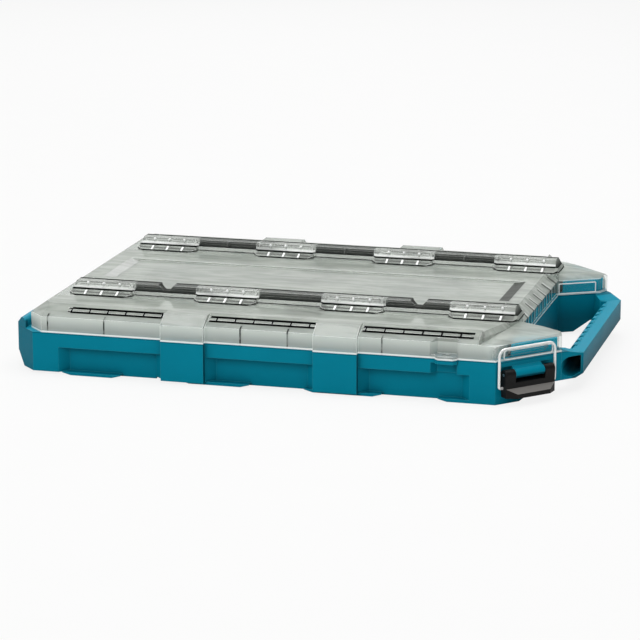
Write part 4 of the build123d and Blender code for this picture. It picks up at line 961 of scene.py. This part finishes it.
lifted = add(tree, "ShaderNodeMixShader", {
    "Fac": lift, 1: matt.outputs["BSDF"], 2: white.outputs["Emission"]})
add(tree, "ShaderNodeOutputMaterial", {"Surface": lifted.outputs["Shader"]})
dress(pale, "floor")

# %% Room
world = bpy.data.worlds.new("white_room")
bpy.context.scene.world = world
world.use_nodes = True
tree = world.node_tree
tree.nodes.clear()
path = add(tree, "ShaderNodeLightPath")
toward = add(tree, "ShaderNodeSeparateXYZ", {
    "Vector": add(tree, "ShaderNodeTexCoord").outputs["Generated"]})
ceiling = add(tree, "ShaderNodeMapRange", {
    "Value": toward.outputs["Z"], "From Min": 0.0, "From Max": 0.9, "To Min": 0.30, "To Max": 0.75})
back_wall = add(tree, "ShaderNodeMapRange", {
    "Value": toward.outputs["Y"], "From Min": -0.5, "From Max": 0.3, "To Min": 0.25, "To Max": 1.0})
mirrored = add(tree, "ShaderNodeMath", {
    0: path.outputs["Is Glossy Ray"], 1: path.outputs["Is Transmission Ray"]},
    operation="MAXIMUM").outputs["Value"]
right_wall = add(tree, "ShaderNodeMapRange", {
    "Value": toward.outputs["X"], "From Min": 0.1, "From Max": 0.8, "To Min": 1.0, "To Max": 0.45})
lighting = add(tree, "ShaderNodeMath", {
    0: ceiling.outputs["Result"], 1: right_wall.outputs["Result"]},
    operation="MULTIPLY").outputs["Value"]
reflected = add(tree, "ShaderNodeMath", {
    0: back_wall.outputs["Result"], 1: right_wall.outputs["Result"]},
    operation="MULTIPLY").outputs["Value"]
lit = add(tree, "ShaderNodeMix", {
    "Factor": mirrored, "A": lighting, "B": reflected}, data_type="FLOAT")
level = add(tree, "ShaderNodeMix", {
    "Factor": path.outputs["Is Camera Ray"], "A": lit.outputs["Result"], "B": 1.0},
    data_type="FLOAT")
air = add(tree, "ShaderNodeBackground", {
    "Color": [1, 1, 1, 1], "Strength": level.outputs["Result"]})
add(tree, "ShaderNodeOutputWorld", {"Surface": air.outputs["Background"]})
print("nodes in the room:", len(tree.nodes))

# %% [markdown]
# ## Lamps
#
# Three large soft lamps, as in a small studio. One stands in front, a little to the left, so
# that the long front is lit evenly and the ends of the side recesses fall into shade. The
# strongest hangs above and draws the long highlights on the rails, and a weak one behind picks
# out the far edges.

# %% Lamps
def soft_lamp(name, location, size, power):
    """A square area lamp that faces the middle of the case."""
    data = bpy.data.lights.new(name, "AREA")
    data.shape, data.size, data.energy = "SQUARE", size, power
    lamp = bpy.data.objects.new(name, data)
    bpy.context.scene.collection.objects.link(lamp)
    lamp.location = location
    beam = Vector((0, 0, 0.03)) - Vector(location)
    lamp.rotation_euler = beam.to_track_quat("-Z", "Y").to_euler()
    print(name, "at", [round(v, 2) for v in location], "with", power, "W")


soft_lamp("lamp_front_left", (-0.6, -2.5, 1.7), 1.4, 22)
soft_lamp("lamp_above", (0.2, 0.3, 2.4), 1.8, 42)
soft_lamp("lamp_behind", (-0.8, 2.3, 1.3), 1.0, 10)

# %% [markdown]
# ## The camera
#
# A long lens from three metres away keeps the long edges nearly parallel. The camera looks from
# the front, turned 15 degrees towards the handle's end, and from 14 degrees above. It stands a
# few millimetres further left and down, which sets the case in its place in the frame.

# %% Camera
turn, tilt, distance = radians(15.009), radians(13.93), 2.9526
ahead = Vector((-sin(turn) * cos(tilt), cos(turn) * cos(tilt), -sin(tilt)))
right = Vector((cos(turn), sin(turn), 0))
above = right.cross(ahead)
aim = Vector((-0.0049, 0.0037, 0.0319))
to_left, down = 8.78 * mm, 7.94 * mm
camera = bpy.data.objects.new("camera", bpy.data.cameras.new("camera"))
bpy.context.scene.collection.objects.link(camera)
camera.data.lens = 161.76
camera.location = aim - ahead * distance - right * to_left - above * down
camera.rotation_euler = ahead.to_track_quat("-Z", "Y").to_euler()
camera.data.clip_start, camera.data.clip_end = 0.1, 40
bpy.context.scene.camera = camera
bpy.context.scene.view_settings.view_transform = "Standard"
print("camera at", [round(v, 3) for v in camera.location])
